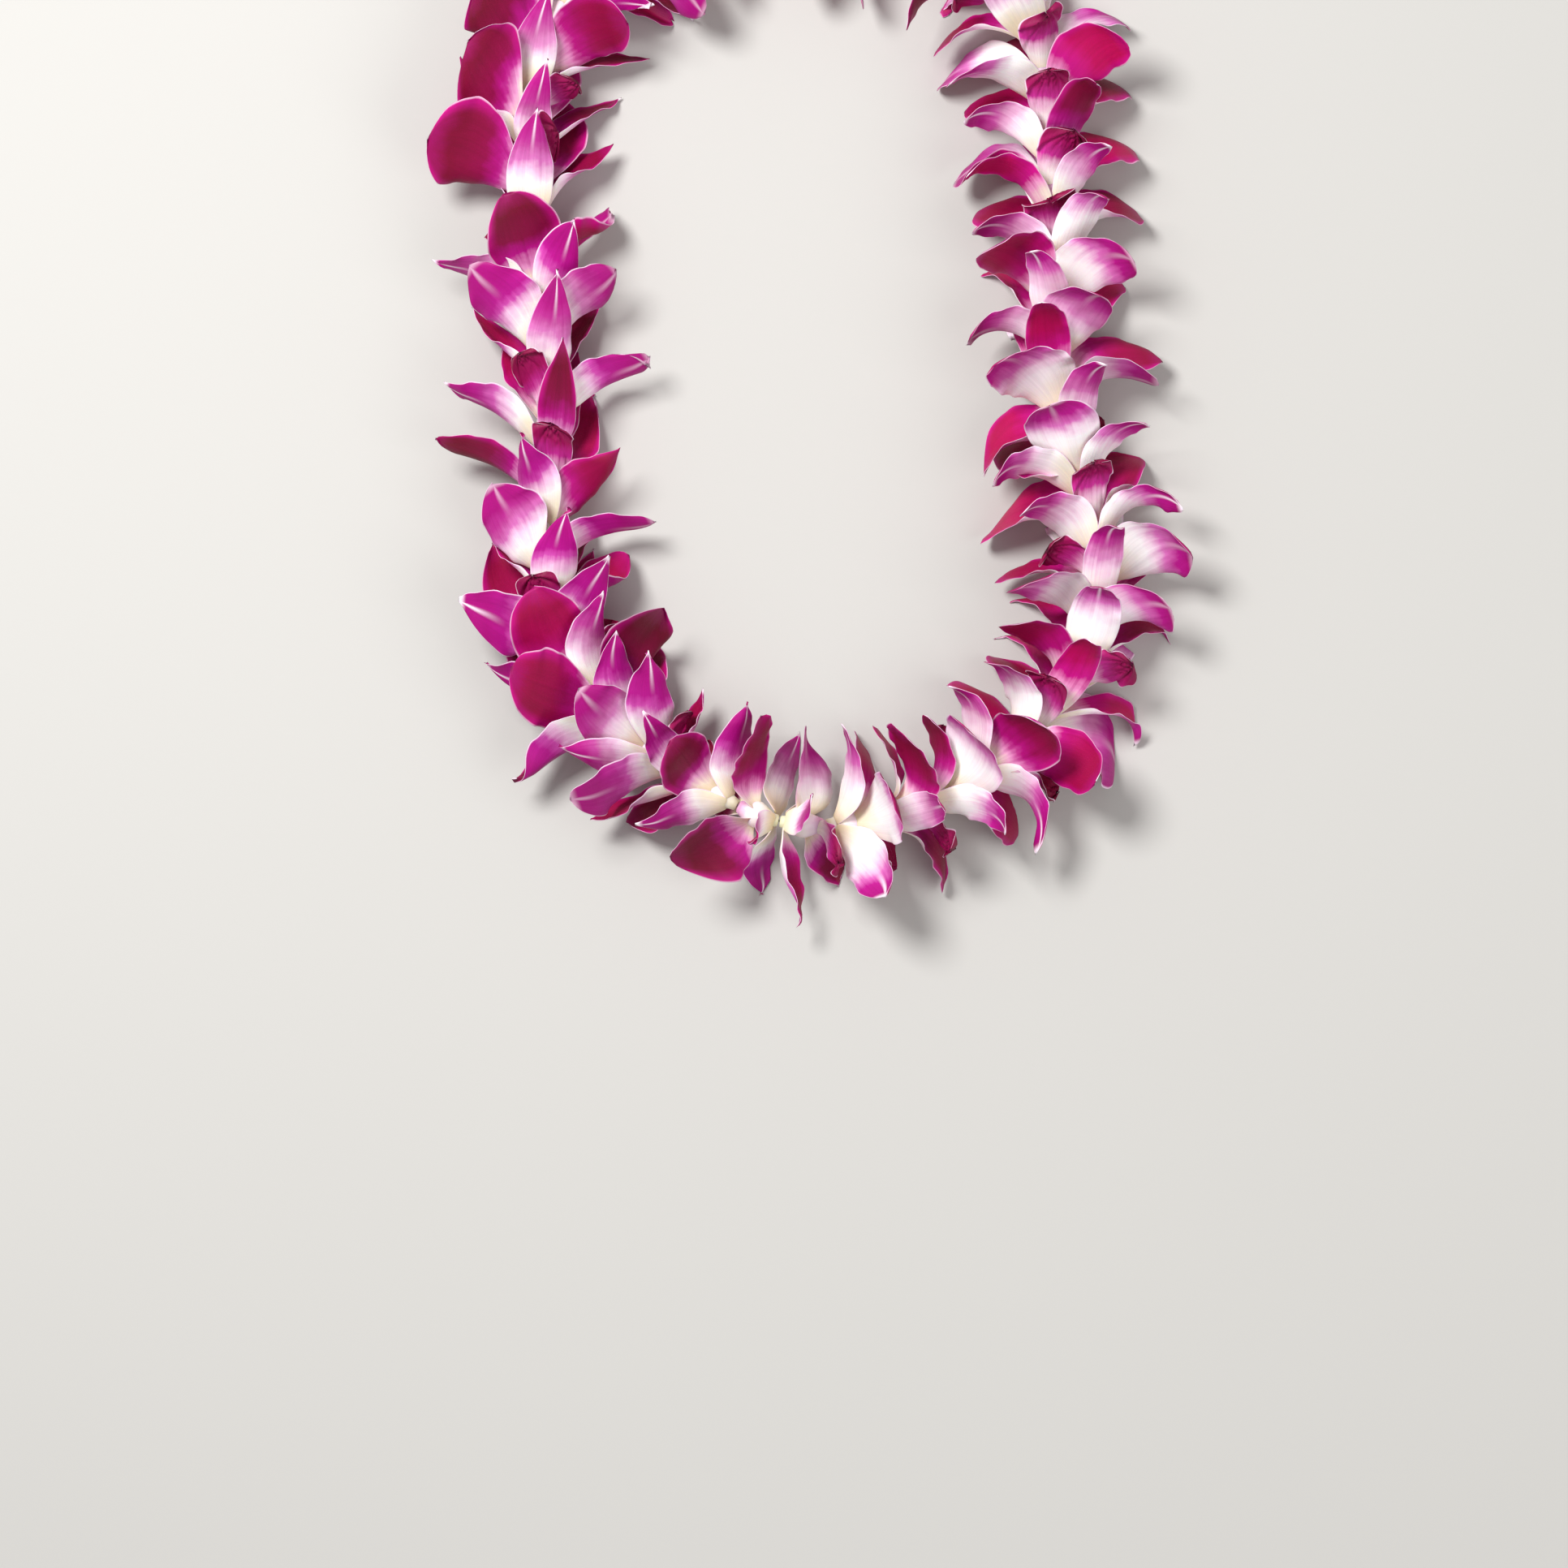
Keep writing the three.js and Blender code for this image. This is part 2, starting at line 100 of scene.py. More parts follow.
samples = np.arange(len(ROUTE) * SAMPLES_PER_SPAN + 1) / SAMPLES_PER_SPAN
steps_between = np.diff(route_at(samples)[0], axis=0)
lengths = np.concatenate([[0], np.cumsum(np.hypot(*steps_between.T))])
ROUTE_LENGTH = lengths[-1]
origin = np.zeros(2)


def place(along, out, up):
    """From strand space (along the thread, outwards, upwards) to the lei's own frame."""
    point, slope = route_at(np.interp(np.mod(along, ROUTE_LENGTH), lengths, samples))
    slope = slope / np.linalg.norm(slope, axis=-1, keepdims=True)
    outward = np.stack([-slope[..., 1], slope[..., 0]], -1)
    spot = point + outward * np.asarray(out)[..., None] + origin
    return np.concatenate([spot, np.asarray(THREAD_HEIGHT + up)[..., None]], -1)


# The frame's origin is the middle of the lei's footprint. The thread's solid shows where
# ROUTE lies from it.
turns = np.arange(THREAD_STEPS) * ROUTE_LENGTH / THREAD_STEPS
ring = place(turns, np.full(THREAD_STEPS, THREAD_RADIUS), np.zeros(THREAD_STEPS))
thread_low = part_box("thread")[0]
origin = np.array(thread_low[:2]) / MM - ring[:, :2].min(axis=0)


def add(tree, kind, links=None, stops=None, **settings):
    """Adds a node with its settings and gives its outputs. links holds, for each input, a
    value, the output of another node, or a list of such outputs. An input goes by its name,
    or by its number where several share a name."""
    node = tree.nodes.new(kind)
    for name, value in settings.items():
        setattr(node, name, value)
    for socket, sources in (links or {}).items():
        for source in sources if isinstance(sources, list) else [sources]:
            if isinstance(source, bpy.types.NodeSocket):
                tree.links.new(source, node.inputs[socket])
            else:
                node.inputs[socket].default_value = source
    for element, (position, colour) in enumerate(stops or []):
        if element > 1:
            node.color_ramp.elements.new(1.0)
        node.color_ramp.elements[element].position = position
        node.color_ramp.elements[element].color = linear(colour)
    return node.outputs


def linear(colour):
    """An sRGB hex colour as linear red, green, blue and alpha."""
    channels = [(colour >> shift & 255) / 255 for shift in (16, 8, 0)]
    light = [c / 12.92 if c <= 0.04045 else ((c + 0.055) / 1.055) ** 2.4 for c in channels]
    return (*light, 1)


def inputs_of(tree, *sockets):
    """Gives a node tree its geometry and its named inputs, and returns their outputs."""
    tree.interface.new_socket("Geometry", in_out="OUTPUT", socket_type="NodeSocketGeometry")
    for name, kind in (("Geometry", "Geometry"), *sockets):
        tree.interface.new_socket(name, in_out="INPUT", socket_type="NodeSocket" + kind)
    return tree.nodes.new("NodeGroupInput").outputs


def grown(name, data, tree, values):
    """A plain mesh object: what the tree makes of the data with these inputs."""
    source = bpy.data.objects.new(name + "_source", data)
    bpy.context.scene.collection.objects.link(source)
    modifier = source.modifiers.new("grow", "NODES")
    modifier.node_group = tree
    for item in tree.interface.items_tree:
        if item.in_out == "INPUT" and item.name in values:
            modifier[item.identifier] = values[item.name]
    graph = bpy.context.evaluated_depsgraph_get()
    mesh = bpy.data.meshes.new_from_object(source.evaluated_get(graph))
    source.modifiers.clear()
    bpy.data.objects.remove(source)
    mesh.name = name
    piece = bpy.data.objects.new(name, mesh)
    bpy.context.scene.collection.objects.link(piece)
    return piece


def curve_of(name, *lines):
    """A curve with one spline for each line, given as its points in mm and if it is closed."""
    curve = bpy.data.curves.new(name, "CURVE")
    curve.dimensions = "3D"
    for points, closed in lines:
        spline = curve.splines.new("POLY")
        spline.points.add(len(points) - 1)
        spline.points.foreach_set("co", np.insert(points * MM, 3, 1, axis=1).ravel())
        spline.use_cyclic_u = closed
    return curve


# Cotton: combed and twisted, so the plies show as a fine slant and the fibres scatter light.
FIBRE = 0.12  # spacing of the fibres that show, coarser than the real 0.02
cotton = bpy.data.materials.new("twisted_cotton")
cotton.use_nodes = True
tree = cotton.node_tree
shader = tree.nodes["Principled BSDF"].inputs
shader["Roughness"].default_value = 0.9
shader["Sheen Weight"].default_value = 0.3
spot = add(tree, "ShaderNodeTexCoord")["Object"]
fibres = add(tree, "ShaderNodeTexNoise", {"Vector": spot, "Scale": 1 / (FIBRE * MM)})[0]
shade = add(tree, "ShaderNodeValToRGB", {0: fibres}, stops=[(0.3, 0xD9D3C2), (0.7, 0xF6F3EA)])[0]
tree.links.new(shade, shader["Base Color"])

twisted = bpy.data.node_groups.new("twisted_thread", "GeometryNodeTree")
given = inputs_of(twisted, ("Plies", "Int"), ("Ply radius", "Float"), ("Twist", "Float"),
                  ("Sample", "Float"), ("Cotton", "Material"))
smooth = add(twisted, "GeometryNodeCurveSplineType", {"Curve": given["Geometry"]},
             spline_type="CATMULL_ROM")[0]
even = add(twisted, "GeometryNodeResampleCurve", {0: smooth, "Length": given["Sample"]},
           mode="LENGTH")[0]
length = add(twisted, "GeometryNodeSplineParameter")["Length"]
turned = add(twisted, "ShaderNodeMath", {0: length, 1: given["Twist"]}, operation="DIVIDE")[0]
tilt = add(twisted, "ShaderNodeMath", {0: turned, 1: math.tau}, operation="MULTIPLY")[0]
twist = add(twisted, "GeometryNodeSetCurveTilt", {"Curve": even, "Tilt": tilt})[0]
ply = add(twisted, "GeometryNodeCurvePrimitiveCircle",
          {"Resolution": PLY_SIDES, "Radius": given["Ply radius"]})[0]
around = add(twisted, "GeometryNodeMeshCircle",
             {"Vertices": given["Plies"], "Radius": given["Ply radius"]})[0]
plies = add(twisted, "GeometryNodeInstanceOnPoints", {"Points": around, "Instance": ply})[0]
section = add(twisted, "GeometryNodeRealizeInstances", {0: plies})[0]
strand = add(twisted, "GeometryNodeCurveToMesh",
             {"Curve": twist, "Profile Curve": section, "Fill Caps": True})[0]
rounded = add(twisted, "GeometryNodeSetShadeSmooth", {0: strand})[0]
whole = add(twisted, "GeometryNodeRealizeInstances", {0: rounded})[0]
finished = add(twisted, "GeometryNodeSetMaterial", {0: whole, "Material": given["Cotton"]})[0]
add(twisted, "NodeGroupOutput", {0: finished})
thread_sizes = {"Plies": PLIES, "Ply radius": PLY_RADIUS * MM, "Twist": TWIST * MM,
                "Sample": THREAD_SAMPLE * MM, "Cotton": cotton}

loop = np.array([(x + origin[0], y + origin[1], THREAD_HEIGHT) for x, y in ROUTE])
route_curve = bpy.data.objects.new("thread_route", curve_of("thread_route", (loop, True)))
bpy.context.scene.collection.objects.link(route_curve)
thread = grown("thread_loop", curve_of("thread_loop", (loop, True)), twisted, thread_sizes)
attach(thread, "root")
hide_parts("thread")

KNOT_HALF = (4.0, 1.6, 1.9)  # along the thread, outwards, upwards
KNOT_POINTS = 30
TAIL_LENGTH = 15
TAIL_SPLAY = math.radians(52)
TAIL_RISE = math.radians(28)
TAIL_SAG = 3.0
TAIL_POINTS = 7

# An overhand knot is a trefoil, pulled out along the thread.
angle = np.linspace(0, math.tau, KNOT_POINTS, endpoint=False)
knot_along = KNOT_HALF[0] * (np.cos(angle) - 2 * np.cos(2 * angle)) / 3
knot_out = KNOT_HALF[1] * (np.sin(angle) + 2 * np.sin(2 * angle)) / 2
knot_up = -KNOT_HALF[2] * np.sin(3 * angle) / 2
knot_lines = [(place(ROUTE_LENGTH / 2 + knot_along, knot_out, knot_up), True)]
knot_spot = place(np.array(ROUTE_LENGTH / 2), 0.0, 0.0)
for side in (-1, 1):
    toward = np.array([
        -side * math.sin(TAIL_SPLAY),
        math.cos(TAIL_SPLAY) * math.cos(TAIL_RISE),
        math.cos(TAIL_SPLAY) * math.sin(TAIL_RISE),
    ])
    share = np.linspace(0, 1, TAIL_POINTS)[:, None]
    sag = np.array([0, 0, -TAIL_SAG]) * share**2
    knot_lines.append((knot_spot + toward * TAIL_LENGTH * share + sag, False))
knot = grown("thread_knot", curve_of("thread_knot", *knot_lines), twisted, thread_sizes)
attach(knot, "root")

# ---- Where the blooms sit on the thread ----
# The blooms of each side are threaded on facing the back of the neck and pushed together
# like stacked cups, a little unevenly and each rolled to its own side.

STACK_CLEARANCE = 1.7  # between a bloom and the next one in the stack
LONGEST_SHARE = 30  # of the thread that one bloom fills, where the stack has a gap
ROLL_SPREAD = 8
# The blooms at the ends of a side have room to open flatter, and those at the front are
# smaller: over how many blooms, and what share of its depth or size the end one has.
FRONT_OPENING = (4, 0.45)
BACK_OPENING = (4, 0.7)
FRONT_SIZE = (4, 0.84)
FRONT_SPREAD = 0.75  # how far back the sepals of the very first bloom may spread

# distances: along the thread from the front of the loop to the middle of each bloom.
# uppermost: which side of each bloom is uppermost, as the place round the bloom that the
# organs below are given. looking_up: the blooms, counted from 0, whose petals are spread
# flat with their inner faces up. narrow: width of the petals of the other blooms, which
# are folded in. lean: how steeply the stack leans forward above and below the thread.
# showing: how far the tepals turn their backs up, and how far that strays. front_turn: what
# the first bloom adds to it. reflex: 1 where the outer ends of the tepals bend back.
# blunt: how much rounder the tips of the sepals are. paleness, warmth: how pale the outer
# and how warm a red the inner faces are, and how far that strays. flushed: share of the
# tepals that are coloured as if they were turned over.
LEFT_SIDE = SimpleNamespace(
    facing=1, size=1.07, lean=0.9, narrow=0.86, showing=(0.7, 0.4), front_turn=1.05, reflex=0,
    blunt=1, paleness=(0.0, 0.35), warmth=(0.2, 0.5), flushed=0.1,
    looking_up=[0, 1, 4, 5, 11, 12, 13, 14],
    distances=[9, 24, 39, 54, 69, 84, 104, 127, 154, 185, 208, 232, 270, 293, 314, 338, 367,
               398, 430],
    uppermost=[99, 150, 200, 30, 66, 166, 295, 80, 250, 295, 85, 60, 231, 201, 95, 35, 90,
               250, 310],
)
RIGHT_SIDE = SimpleNamespace(
    facing=-1, size=1.1, lean=0.72, narrow=0.96, showing=(0, 1.1), front_turn=-1.8, reflex=1,
    blunt=1.8, paleness=(0.8, 0.7), warmth=(0.55, 0.7), flushed=0.2,
    looking_up=[0, 2, 4],
    distances=[9, 25, 42, 59, 77, 96, 115, 137, 158, 179, 200, 221, 242, 263, 284, 305, 326,
               347, 374, 402, 431],
    uppermost=[240, 150, 196, 30, 150, 270, 216, 100, 324, 270, 151, 60, 120, 90, 285, 265, 270,
               255, 320, 40, 110],
)
FIRST_TRAIT = 2  # the traits are numbered from here, as seeds
TRAITS = [
    "roll", "angle", "tilt", "bend", "twist", "sweep", "cup", "showing", "phase", "length",
    "width", "hook", "tone", "paleness", "warmth", "wave", "drift", "flush",
]


def draw(bloom, organ, trait):
    """A number from -1 to 1 that is always the same for the same bloom, organ and trait."""
    seed = bloom * 127.1 + organ * 311.7 + (FIRST_TRAIT + TRAITS.index(trait)) * 74.7
    wave = math.sin(seed) * 43758.5453
    return 2 * (wave - math.floor(wave)) - 1


def shortfall(opening, i):
    """What is missing from the full depth or size, i blooms from the end of a side."""
    blooms, at_end = opening
    return max(0, (1 - at_end) * (1 - max(i, 0) / blooms))


def blooms_of(side, first):
    """Where the blooms of one side sit, counted from the front of the loop."""
    last = len(side.distances) - 1
    shares = [min(b - a, LONGEST_SHARE) for a, b in zip(side.distances, side.distances[1:])]
    shares = [2 * side.distances[0]] + shares + [shares[-1]]
    blooms = []
    for i, (distance, topmost) in enumerate(zip(side.distances, side.uppermost)):
        opened, before, after = (
            shortfall(FRONT_OPENING, i + step) + shortfall(BACK_OPENING, last - i - step)
            for step in (0, -1, 1)
        )
        blooms.append(SimpleNamespace(**{
            **vars(side),
            "number": first + i,
            "turn": side.front_turn if i == 0 else 0,
            "looking_up": i in side.looking_up,
            "along": side.facing * distance,
            "back": shares[i] / 2,
            "front": shares[i + 1] / 2,
            "roll": math.radians(90 - topmost + ROLL_SPREAD * draw(first + i, 0, "roll")),
            "depth": 1 - opened,
            "spread": FRONT_SPREAD if i == 0 else 0,
            "change": max(abs(opened - after), abs(opened - before)),
            "size": side.size * (1 - shortfall(FRONT_SIZE, i)),
        }))
    return blooms


blooms = blooms_of(LEFT_SIDE, 1) + blooms_of(RIGHT_SIDE, 1 + len(LEFT_SIDE.distances))

# ---- The shape of a bloom ----
# Three sepals, two broad petals and a ruffled lip stand round the column. In the stack they
# are pressed into cups that lean forward above and below the thread.

CUP_DEPTH = 16
CUP_REACH = 20
LEAN_EASE = 4
REFLEX_DROP = 14  # how far the outer ends of a reflexed bloom bend back
REFLEX_REACH = 36
REFLEX_TILT = 6  # what a reflexed bloom adds to the tilt and takes off the bend
REFLEX_BEND = 26
LEAST_BEND = -4
FLOOR_EASE = 3  # how softly a petal bends to the table
SOLID_THICKNESS = 0.8  # of the blades of the solids, which stand on the table
ROOT_REACH = 2.3  # from the thread to where a blade leaves the ovary wall
TIP_HALF = 0.4
LIP_THROAT = 1.15  # how much tighter the lip closes round the column at its root
LIP_THROAT_END = 0.6  # share of the lip's length where that ends
RIPPLE_WAVES = 7  # how close the ripples of a margin are
FOLDED_CUP = 1.7  # how much more hollow a petal is that is folded in
TURNED_ABOVE = -0.2  # height round the bloom above which a flat petal is turned over
SHOW_FROM = 12  # from the thread to where a blade has turned its back up
LIP_SHOWING = 0.2
# How far the organs of a bloom stray from the type, as the most either way.
SPREAD = {
    "angle": 11, "tilt": 15, "bend": 28, "twist": 36, "sweep": 0.2, "cup": 0.5,
    "showing": 1.3, "phase": 3, "length": 0.12, "width": 0.16, "hook": 5,
}
# The organs of a bloom. place: where round the thread. length, half: size. rise: where
# it leaves the throat. tilt: its angle to the cross-section at the root. bend: how much
# that angle changes to the tip. cup: how hollow it is across. root, swell, peak, round,
# point: its outline. middle, room: its share of the bloom's depth. ripple: height of the
# waves of its margins. hook: how far its tip curls forward. rows, columns: of its mesh.
# rib: how white its midrib is at the tip.
SEPAL = dict(
    kind="sepal", length=39.5, half=8.4, rise=-2.5, tilt=52, bend=-34, cup=0.55, root=0.42,
    swell=1, peak=0.42, round=1.7, point=1.05, middle=-0.38, room=0.6, ripple=0.8, hook=3,
    rows=38, columns=16, rib=1.0,
)
PETAL = dict(
    kind="petal", length=39, half=14.5, rise=0.5, tilt=54, bend=-40, cup=0.4, root=0.2,
    swell=1.25, peak=0.56, round=2.2, point=1.7, middle=0.28, room=0.66, ripple=1.2, hook=1,
    rows=40, columns=22, rib=0.4,
)
LIP = dict(
    kind="lip", length=24, half=8.5, rise=1.5, tilt=72, bend=-50, cup=0.45, root=0.42,
    swell=1.3, peak=0.86, round=2.6, point=2.6, middle=0.45, room=0.5, ripple=1.1, hook=0,
    rows=40, columns=44, rib=0.0,
)
ORGANS = [
    SimpleNamespace(place=90, **SEPAL),
    SimpleNamespace(place=216, **SEPAL),
    SimpleNamespace(place=-36, **SEPAL),
    SimpleNamespace(place=151, **PETAL),
    SimpleNamespace(place=29, **PETAL),
    SimpleNamespace(place=270, **LIP),
]
LENGTH_POINTS = 11
LENGTH_PASSES = 3


def cup(bloom, r):
    """How far forward the cup of a bloom lies at a distance from the thread."""
    reflexed = REFLEX_DROP * bloom.reflex * (r / REFLEX_REACH) ** 3
    return CUP_DEPTH * (1 - np.exp(-r / CUP_REACH)) - reflexed


def nest(bloom, organ, r, up, standing):
    """Keeps an organ inside its layer of its bloom's own share of the stack. standing: how
    far in front of the cup it would lie by itself."""
    surface = cup(bloom, r) + bloom.lean * (np.hypot(up, LEAN_EASE) - LEAN_EASE)
    spare = (STACK_CLEARANCE + bloom.change * np.abs(surface)) / 2
    back = bloom.back + bloom.spread * np.maximum(0, surface)
    middle = (bloom.front - back) / 2
    room = (bloom.front + back) / 2 - spare
    reach = room * organ.room
    layer = middle + room * organ.middle
    return bloom.depth * surface + layer + reach * np.tanh(standing / reach)


def rest_on_floor(height):
    """Presses what would reach below the table flat on it, with a soft bend above."""
    eased = np.clip((height + FLOOR_EASE) / (2 * FLOOR_EASE), 0, 1)
    return FLOOR_EASE * eased**2 + np.maximum(height - FLOOR_EASE, 0)


def half_width(organ, blunt, u):
    """Half the width of an organ at a share of its length."""
    rising = np.sin(np.minimum(u / organ.peak, 1) * math.pi / 2) ** organ.swell
    falling = np.maximum(0, (u - organ.peak) / (1 - organ.peak)) ** organ.round
    closing = np.maximum(0, 1 - falling) ** (1 / (organ.point * blunt))
    return np.maximum(TIP_HALF, organ.half * (organ.root + (1 - organ.root) * rising) * closing)


def blade(bloom, organ, own, u, v):
    """Out, forward and up of the organ's middle surface: u root to tip, v -1 to 1 across."""
    slope = own.tilt + own.bend * u
    reach = ROOT_REACH + own.length / own.bend * (np.sin(slope) - math.sin(own.tilt))
    rise = organ.rise - own.length / own.bend * (np.cos(slope) - math.cos(own.tilt))
    half = half_width(organ, own.blunt, u) * own.width
    closed = np.maximum(0, 1 - u / LIP_THROAT_END) if organ.kind == "lip" else 0
    curl = own.cup + LIP_THROAT * closed
    side = half * np.sin(curl * v) / curl + own.sweep * own.length * u * u
    ripple = organ.ripple * u * v**4 * np.sin(RIPPLE_WAVES * u + own.phase + 2 * (v > 0))
    lift = half * (1 - np.cos(curl * v)) / curl + ripple
    turn = own.twist * u
    across = side * np.cos(turn) - lift * np.sin(turn)
    inward = side * np.sin(turn) + lift * np.cos(turn)
    radial = reach - inward * np.sin(slope)
    out = radial * math.cos(own.angle) - across * math.sin(own.angle)
    up = radial * math.sin(own.angle) + across * math.cos(own.angle)
    r = np.hypot(out, up)
    raised = up - reach * math.sin(own.angle)
    shown = own.showing * raised * math.cos(own.angle) ** 2 * np.minimum(1, r / SHOW_FROM)
    standing = rise + inward * np.cos(slope) + shown + own.hook * u**4 - cup(bloom, r)
    return out, nest(bloom, organ, r, up, standing), up


def habit(bloom, organ, index):
    """How one organ of one bloom differs from the type. Its length is set along its middle."""
    vary = lambda trait: SPREAD[trait] * draw(bloom.number, index, trait)
    reflex = 0 if organ.kind == "lip" else bloom.reflex
    wanted = bloom.size * organ.length * (1 + vary("length"))
    bend = organ.bend + vary("bend") - REFLEX_BEND * reflex
    own = SimpleNamespace(
        angle=math.radians(organ.place + vary("angle")) + bloom.roll,
        tilt=math.radians(organ.tilt + vary("tilt") + REFLEX_TILT * reflex),
        bend=math.radians(min(bend, LEAST_BEND)),
        twist=math.radians(vary("twist")),
        sweep=vary("sweep"),
        cup=organ.cup * (1 + vary("cup")),
        width=bloom.size * (1 + vary("width")),
        hook=(organ.hook + vary("hook")) * (1 - 2 * reflex),
        blunt=bloom.blunt if organ.kind == "sepal" else 1,
        turned=False,
        showing=LIP_SHOWING,
        phase=vary("phase"),
        length=wanted,
    )
    if organ.kind != "lip":
        usual, spread = bloom.showing
        own.showing = usual + spread * vary("showing") + bloom.turn
    if organ.kind == "petal":
        if bloom.looking_up:
            own.turned = math.sin(own.angle) > TURNED_ABOVE
            own.cup *= -1 if own.turned else 1
        else:
            own.width *= bloom.narrow
            own.cup *= FOLDED_CUP
    u = np.linspace(0, 1, LENGTH_POINTS)
    lift = SOLID_THICKNESS / 2
    for _ in range(LENGTH_PASSES):
        out, forward, up = blade(bloom, organ, own, u, np.zeros(LENGTH_POINTS))
        line = place(bloom.along + bloom.facing * forward, bloom.facing * out, up)
        line[:, 2] = lift + rest_on_floor(line[:, 2] - lift)
        own.length *= wanted / np.linalg.norm(np.diff(line, axis=0), axis=1).sum()
    return own


# The tepals are thick and waxy at their roots and thin out to their margins, which are
# never quite flat. The margin of a lip is frilled.
ROOT_THICKNESS = 0.8
BLADE_THICKNESS = 0.5
MARGIN_WAVE = (0.5, 11.0)  # height and length of a wave along the margin of a tepal
MARGIN_RIPPLE = (0.12, 5.0)
MARGINS_APART = 1.5  # how far the waves of the two margins are shifted, each way
SWELL = 0.6  # height of the broad undulations of a tepal
SWELL_WAVES = (4.3, 2.4)  # how close they are, along and across
CALM_ROOT = (0.15, 0.5)  # shares of a tepal's length between which the relief sets in
CALM_HALF = 4.0  # half the width below which a tepal's margin no longer waves
TIP_CURL = 2.8  # how far the last of a tepal curls up, from this share of its length on
TIP_CURL_FROM = 0.78
FRILL = 1.0
FRILL_WAVES = 19
FINE_FRILL = (0.5, 1.7)  # height and closeness of its finer waves, beside the others
FRILL_MIDDLE = 1.08  # share of the lip's length that the frill runs round


def relief_of(bloom, organ, own, u, v, index):
    """How far the living surface stands in front of the plain one, towards its inside."""
    phase = math.pi * draw(bloom.number, index, "wave")
    drift = math.pi * draw(bloom.number, index, "drift")
    if organ.kind == "lip":
        round_margin = np.arctan2(v, FRILL_MIDDLE - u)
        near_margin = np.clip(np.maximum(np.abs(v) * np.minimum(1, 2 * u), u), 0, 1) ** 4
        frill = np.sin(FRILL_WAVES * round_margin + phase)
        fine_height, closeness = FINE_FRILL
        frill += fine_height * np.sin(closeness * FRILL_WAVES * round_margin + drift)
        return FRILL * near_margin * frill
    run = u * own.length + MARGINS_APART * np.sign(v) * phase
    relief = 0 * u
    for height, length in (MARGIN_WAVE, MARGIN_RIPPLE):
        relief += height * np.abs(v) ** 3 * np.sin(math.tau * run / length + drift)
    relief += SWELL * np.sin(SWELL_WAVES[0] * u + phase) * np.sin(SWELL_WAVES[1] * v + drift)
    from_root = np.clip((u - CALM_ROOT[0]) / (CALM_ROOT[1] - CALM_ROOT[0]), 0, 1)
    calm = np.minimum(1, half_width(organ, own.blunt, u) / CALM_HALF)
    curl = np.maximum(0, (u - TIP_CURL_FROM) / (1 - TIP_CURL_FROM)) ** 2
    return from_root * calm * relief + TIP_CURL * curl * (1 - bloom.reflex)


def shade_of(bloom, index, trait):
    """How pale or how warm one organ is, from 0 to 1."""
    usual, spread = getattr(bloom, trait)
    return min(max(usual + spread * draw(bloom.number, index, trait), 0), 1)


def sheet_of(bloom, organ, index):
    """One organ as a grid in strand space, with what its skin and flesh are like there."""
    own = habit(bloom, organ, index)
    u, s = np.meshgrid(np.linspace(0, 1, organ.rows + 1),
                       np.linspace(-1, 1, organ.columns + 1), indexing="ij")
    v = np.sin(s * math.pi / 2)
    spots = np.stack(blade(bloom, organ, own, u, v), -1)
    towards_inside = np.cross(np.gradient(spots, axis=1), np.gradient(spots, axis=0))
    towards_inside /= np.linalg.norm(towards_inside, axis=-1, keepdims=True) + 1e-9
    curled = round(TIP_CURL_FROM * organ.rows)
    towards_inside[curled:] = towards_inside[curled]
    spots += towards_inside * relief_of(bloom, organ, own, u, v, index)[..., None]
    thickness = BLADE_THICKNESS + (ROOT_THICKNESS - BLADE_THICKNESS) * (1 - u) ** 3
    thickness = thickness * np.sqrt(1 - v**4)
    thickness[[0, -1], :] = 0
    thickness[:, [0, -1]] = 0
    rows, columns = u.shape
    corner = np.arange(rows * columns).reshape(rows, columns)
    quads = np.stack([corner[:-1, :-1], corner[:-1, 1:], corner[1:, 1:], corner[1:, :-1]], -1)
    flushed = draw(bloom.number, index, "flush") > 1 - 2 * bloom.flushed
    return SimpleNamespace(
        spots=spots.reshape(-1, 3),
        quads=quads.reshape(-1, 4),
        along=u.ravel(),
        across=v.ravel(),
        thickness=thickness.ravel(),
        tone=draw(bloom.number, index, "tone"),
        turned=float(own.turned or (flushed and organ.kind != "lip")),
        pale=shade_of(bloom, index, "paleness"),
        warm=shade_of(bloom, index, "warmth"),
        rib=organ.rib,
        organ=2 if organ.kind == "lip" else 1,
    )


# The ovary, the chin and the column are one tube round the thread.
CORE_SIDES = 24
CORE_GAP = 0.5  # between the end of an ovary and the column in front of it
BORE_RADIUS = 1.0
CORE_PROFILE = [  # share of the half-length, radius
    (-1, 1.5), (-0.97, 2.2), (-0.7, 2.6), (-0.4, 4.0), (-0.1, 5.0), (0.15, 4.9), (0.45, 3.9),
    (0.75, 3.0), (0.95, 2.3), (1, 1.6),
]


